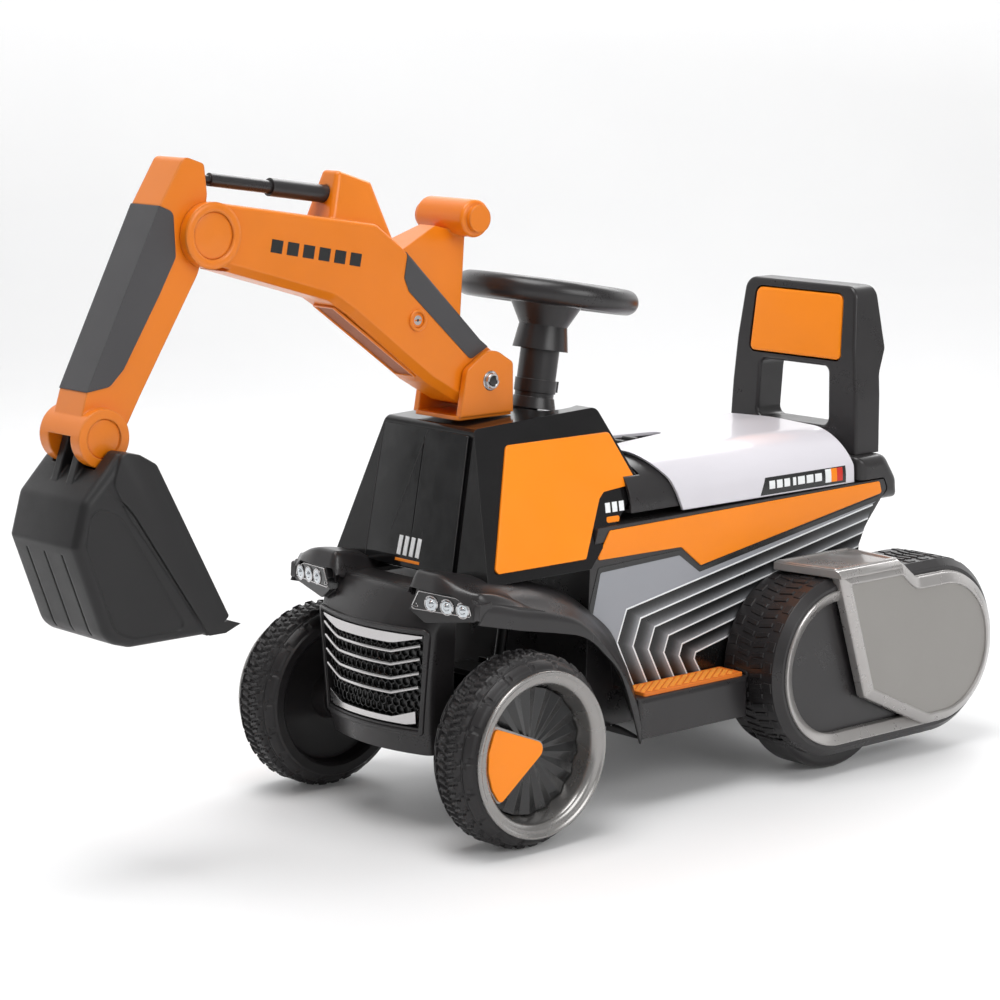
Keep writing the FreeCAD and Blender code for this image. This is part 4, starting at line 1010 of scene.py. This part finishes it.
def lamp_hoods():
    """A smooth hood over each lamp that runs back into the fender."""
    rings = []
    places = [58, 60.6, 63.5, 66.8, 70.4] + [74 + 3 * k for k in range(25)] + [147.6, 149, 150.2, 151.2, 152]
    for x in places:
        front = -61.5 + 0.0058 * max(x - 97, 0) ** 2 + 0.3 * max(x - 146, 0) ** 2
        low = 260.5 - 10 * smooth_step(x, 122, 142) - 6 * (1 - smooth_step(x, 59, 64))
        low -= 13 * smooth_step(x, 143, 146)
        high = hood_height(x, front + 8)
        skin = [(front, min(low, high - 1)), (front + 2.4, low + (high - low) * 0.45),
                (front + 5.2, low + (high - low) * 0.84), (front + 8, high)]
        for j in range(1, 17):
            y = front + 8 + (44 - front - 8) * j / 16
            skin.append((y, hood_height(x, y)))
        skin += [(y, z - 5) for y, z in skin[:2:-1]] + [(front + 4, min(low, high - 1) - 0.5)]
        rings.append([(x, y, z) for y, z in skin])
    twins("lamp_hoods", ring_skin(rings), charcoal, "main", "charcoal", smooth=60)


def nose_wall():
    """The bowed wall round the grille: rings at heights z, each (z, half width, side y, middle y)."""
    wall, corner, back_y = 6, 7, -24.5
    turns = [math.radians(15 * k) for k in range(7)]
    arc = [(corner * math.sin(a), corner - corner * math.cos(a)) for a in turns]
    rings = []
    for z, half, side_y, middle_y in ((84, 80, -48, -64), (112, 86, -54, -72), (214, 92, -56, -76),
                                      (250, 95, -42.4, -54), (254.5, 94, -38.4, -48.6),
                                      (256, 92.5, -36, -46)):
        flat = half - corner
        line = [(-flat - out, back) for out, back in arc[::-1]]
        line += [((-0.9 + 0.1 * k) * flat, 0) for k in range(19)]
        line += [(flat + out, back) for out, back in arc]
        face = [(x, middle_y + (side_y - middle_y) * (x / half) ** 2 + back, z) for x, back in line]
        face = [(-half, back_y, z)] + face + [(half, back_y, z)]
        inner = [(x * (half - wall) / half, y + wall * (y != back_y), z) for x, y, z in face]
        rings.append(face + inner[::-1])
    window = prism([(-74, 114), (74, 114), (83, 213), (-83, 213)], "y", -95, -30)
    return carved(ring_skin(rings), [window])


def front_bumper():
    """The bowed nose wall, its brow and the walls round the lamps."""
    brow = prism([(-94, -45), (-60, -48), (60, -48), (94, -45), (94, -12.8), (-94, -12.8)], "z",
                 250.8, 255.6)
    verts, faces = prism([(2, -10, 3), (20, -21, 6), (86, -12, 5), (88.5, 0, 6), (84, 10, 5), (10, 14)],
                         "y", -4.5, 4)
    plate = [lamp_spot(*v) for v in verts], faces
    filler = prism([(-56, 238), (-40, 232), (-20, 250), (-21, 266), (-47, 270), (-54, 259)], "x", 66.5, 98)
    cheek = prism([(-47.2, 236, 3), (-46, 253, 3), (-30, 254), (-30, 234)], "x", 145, 154.4)
    shapes = [mirror_pair(shape) for shape in (plate, filler, cheek)]
    piece("nose_shell", both(nose_wall(), brow, *shapes), charcoal, "main", "charcoal", smooth=32,
          replaces=["front_bumper"])


front_bumper()
fenders()
lamp_hoods()


# ---- Nose frame ----
def nose_frame():
    """A raised surround that follows the bowed nose round the grille."""
    outline = [(-78.5, 106, 6), (78.5, 106, 6), (90.5, 219, 7), (-90.5, 219, 7)]
    rings = []
    for distance, depth in ((0, 1.5), (0, -1.0), (0.8, -1.9), (4.2, -1.9), (5, -1.2), (5.2, 2.5), (0, 1.5)):
        ring = []
        points = rounded(inset(outline, distance))
        for i, point in enumerate(points):
            following = points[(i + 1) % len(points)]
            cuts = 24 if (following - point).length > 30 else 1
            for c in range(cuts):
                spot_on = point.lerp(following, c / cuts)
                ring.append((spot_on.x, nose_front(spot_on.x, spot_on.y, depth), spot_on.y))
        rings.append(ring)
    piece("nose_frame", ring_skin(rings, closed_ends=False), charcoal, "main", "charcoal", smooth=40)


nose_frame()


# ---- Arm ----
ELBOW, BUCKET_PIN, ARM_ROOT, SIDE_BOSS = (-277, 626), (-406, 443), (70, 457), (-21, 526)


def disc(x_back, x_front, radius, centre, dome=0.5):
    """A round cap with a soft edge, facing outwards along x."""
    profile = [(x_back, 0.01), (x_back, radius), (x_front - 0.8, radius), (x_front - 0.2, radius - 0.5),
               (x_front, radius - 1.4), (x_front + dome, 0.01)]
    return turned(profile, centre, 64)


def arm_details():
    twins("elbow_caps", disc(31.8, 33.6, 22.6, ELBOW), arm_orange, "boom_arm", "orange")
    elbow_ring = turned([(33, 23.2), (34.6, 23.2), (35.4, 24), (35.6, 25.4), (35.6, 29.5), (35, 31),
                         (33.6, 32.3), (32.4, 32.3)], ELBOW, 96)
    twins("elbow_boss_rings", elbow_ring, arm_orange, "boom_arm", "orange", smooth=40)
    twins("bucket_pin_caps", disc(30.8, 32.4, 18.6, BUCKET_PIN), arm_orange, "stick_arm", "orange")
    boss_ring = turned([(26.5, 11.2), (31.4, 11.2), (31.9, 10.4), (31.8, 8.8), (31.2, 8.2), (26.5, 8.2)],
                       SIDE_BOSS, 48)
    twins("side_boss_rings", boss_ring, arm_orange, "boom_arm", "orange", smooth=40)
    twins("side_boss_caps", disc(27.5, 29.9, 7.9, SIDE_BOSS, 0.1), arm_orange, "boom_arm", "orange")
    # Black discs on the boss caps: painted shade standing for the caps' holes.
    twins("side_boss_hole_shades", disc(29, 30.3, 1.9, SIDE_BOSS, 0), film_black, "boom_arm", "steel")

    sleeve = ((38, 5.3), (42.4, 5.3), (43, 5.8), (43, 7.6), (42.4, 8.1), (38, 8.1))
    sleeves = []
    for start in (0.12, 0.62):
        angles = [2 * math.pi * (start + 0.38 * k / 14) for k in range(15)]
        sleeves.append(ring_skin([[around(ARM_ROOT, x, r, angle) for x, r in sleeve] for angle in angles]))
    sleeves.append(turned([(38, 8.1), (39, 8.1), (39.2, 9.6), (38.6, 10.4), (38, 10.4)], ARM_ROOT, 48))
    twins("root_pin_sleeves", both(*sleeves), chrome, "swing", "steel", smooth=40)
    twins("root_pin_cores", disc(36.5, 42.4, 5.25, ARM_ROOT, 0), film_black, "swing", "steel")

    marks, pitch, slope = [], 19.5, 0.19
    for k in range(6):
        y, z = -206 + pitch * k, 606 - slope * pitch * k
        mark = [(y, z), (y + 13.5, z - 2.6), (y + 16, z + 10), (y + 2.5, z + 12.6)]
        marks.append(prism(mark, "x", 28.4, 29.4))
    twins("boom_dark_marks", both(*marks), film_black, "boom_arm", "decal")


def boom_underside():
    """A framed, shallow hollow on the boom's lower slope, whose floor is painted darker as painted shade."""
    start, end = Vector((-120, 545.8)), Vector((-12, 466))
    along = (end - start).normalized()
    out = Vector((along.y, -along.x))

    def laid(shape):
        verts, faces = shape
        return [(x, *(start + along * s + out * (h - 0.6))) for x, s, h in verts], faces

    length = (end - start).length
    outline = [(-17, 0, 3), (17, 0, 3), (17, length, 3), (-17, length, 3)]
    frame_ring = stepped(outline, "z", [(0, 0), (0, 1.6), (0.6, 2.2), (2.4, 2.2), (3, 1.6), (3, 0), (0, 0)])
    piece("boom_underside_frame", laid(frame_ring), arm_orange, "boom_arm", "orange")
    plate = stepped(outline, "z", [(2.8, 0), (2.8, 0.9)])
    # The plate's darker orange is painted shade inside the hollow.
    piece("boom_underside_shade_plate", laid(plate), recess_painted_shade, "boom_arm", "orange")


arm_details()
boom_underside()


# ---- Bucket ----
def two_ended(levels):
    """A stepped solid's levels towards its high end, with the same, mirrored, at its low end."""
    return [(distance, -place) for distance, place in levels] + levels[::-1]


def bucket_shell():
    mouth = [(-303, 245, 3), (-284, 261, 3), (-365, 418, 10), (-384, 429, 8)]
    side = [(-403, 433, 8), (-445, 389, 16), (-457, 347, 8), (-423, 253, 26), (-396, 245, 12)] + mouth
    body = stepped(side, "x", two_ended([(9, 58), (5, 57.2), (2.2, 55.2), (0.6, 52.4), (0, 49)]), steps=8)
    band_line = [(-403, 433, 8), (-414, 404, 14), (-398, 372, 14), (-310, 245)] + mouth
    band = stepped(band_line, "x", two_ended([(1.4, 60), (0.4, 59.6), (0, 58.6)]))
    lip = prism([(-310, 245), (-289, 245), (-271, 252), (-285, 257), (-305, 251)], "x", -60, 60)
    hollow = [(-399, 423, 6), (-440, 386, 12), (-452.5, 347, 6), (-419, 257, 22), (-395, 249.5, 10),
              (-300, 249.5), (-262, 262), (-345, 420), (-386, 424.5, 6)]
    cavity = stepped(hollow, "x", two_ended([(8, 54), (4, 53.2), (0.6, 49), (0, 45)]))
    opening = prism([(-310, 251), (-262, 262), (-345, 420), (-384, 420), (-395, 400)], "x", -54, 54)
    scoop = drum(-36.5, 36.5, 30.5, BUCKET_PIN, 64)
    cutters = [cavity, opening, scoop]
    groove = [(-470, 340), (-440, 250), (-421.6, 256), (-451.2, 338)]
    cutters += [prism(groove, "x", x - 1.3, x + 1.3) for x in (-30, 0, 30)]
    seam = ribbon([(-421, 401), (-400, 381), (-391, 370), (-306, 240)], 2.2)
    cutters += [prism(seam, "x", 57.8, 61), prism(seam, "x", -61, -57.8)]
    panel = [(-437, 388, 14), (-446, 347, 8), (-415, 262, 20), (-393, 253, 10), (-330, 253, 8),
             (-404, 374, 30)]
    cutters += [stepped(panel, "x", [(0, end * 59), (1.6, end * 56.4)]) for end in (-1, 1)]
    shell = carved(body, cutters, [band, lip])
    shield = carved(drum(-39, 39, 33.5, BUCKET_PIN, 64), [scoop], kept=[prism(hollow, "x", -54, 54)])
    bore = drum(-20, 20, 6.05, BUCKET_PIN)
    ears = []
    for low, high in ((-18, -8), (8, 18)):
        ear = prism([(-418, 443), (-433, 401), (-402, 407), (-394, 443)], "x", low, high)
        ears.append(carved(ear, [bore], [drum(low, high, 13, BUCKET_PIN)]))
    piece("bucket_shell", both(shell, shield, *ears), soft_charcoal, "scoop", "charcoal",
          replaces=["bucket"], smooth=32)


bucket_shell()


# ---- Stage and light, in metres ----
def add_stage():
    """A pale floor that curves up into a wall behind the toy; it glows as painted light, faintly on the floor
    and more up the wall.
    """
    size, bend, steps = 40.0, 3.0, 24
    rows = [(-size, 0.0)]
    for i in range(steps + 1):
        angle = math.radians(90 * i / steps)
        rows.append((bend + bend * math.sin(angle), bend - bend * math.cos(angle)))
    rows.append((6.0, 9.0))
    verts = [(side, along, height) for along, height in rows for side in (-size, size)]
    faces = [(i, i + 1, i + 3, i + 2) for i in range(0, len(verts) - 2, 2)]
    mesh = bpy.data.meshes.new("studio_sweep")
    mesh.from_pydata(verts, [], faces)
    mesh.polygons.foreach_set("use_smooth", [True] * len(faces))
    sweep = in_scene("studio_sweep", mesh)
    sweep.rotation_euler = (0, 0, CAMERA_TURN)
    n = Nodes("studio_floor")
    tone = n.blend(n.noise(2, 3), linear(229, 229, 230), linear(235, 235, 235))
    height = n.add("ShaderNodeSeparateXYZ", Vector=n.place).outputs["Z"]
    # The emission is painted light: it grows with height, so the wall glows brighter than the floor.
    n.fill(n.shader, Base_Color=tone, Roughness=0.5, Specular_IOR_Level=0.2, Emission_Color=(1, 1, 1, 1),
           Emission_Strength=n.spread(height, 0.0, 1.8, 0.03, 0.85))
    mesh.materials.append(n.material)


def add_light(name, place, aim, size, power):
    data = bpy.data.lights.new(name, "AREA")
    data.shape = "RECTANGLE"
    data.size, data.size_y = size
    data.energy = power
    light = in_scene(name, data)
    light.location = place
    light.rotation_euler = (Vector(aim) - Vector(place)).to_track_quat("-Z", "Y").to_euler()


def add_world():
    world = bpy.data.worlds.new("studio")
    world.use_nodes = True
    background = world.node_tree.nodes["Background"]
    background.inputs["Color"].default_value = (1, 1, 1, 1)
    background.inputs["Strength"].default_value = 0.42
    bpy.context.scene.world = world


add_stage()
add_world()
add_light("key", (0.2, -0.9, 4.0), (0, 0, 0.3), (2.4, 2.2), 102)
add_light("side", (3.4, 0.2, 2.0), (0, 0.1, 0.3), (2.2, 1.8), 50)
add_light("back", (-1.5, 2.6, 2.8), (0, 0.2, 0.4), (2.4, 1.6), 45)
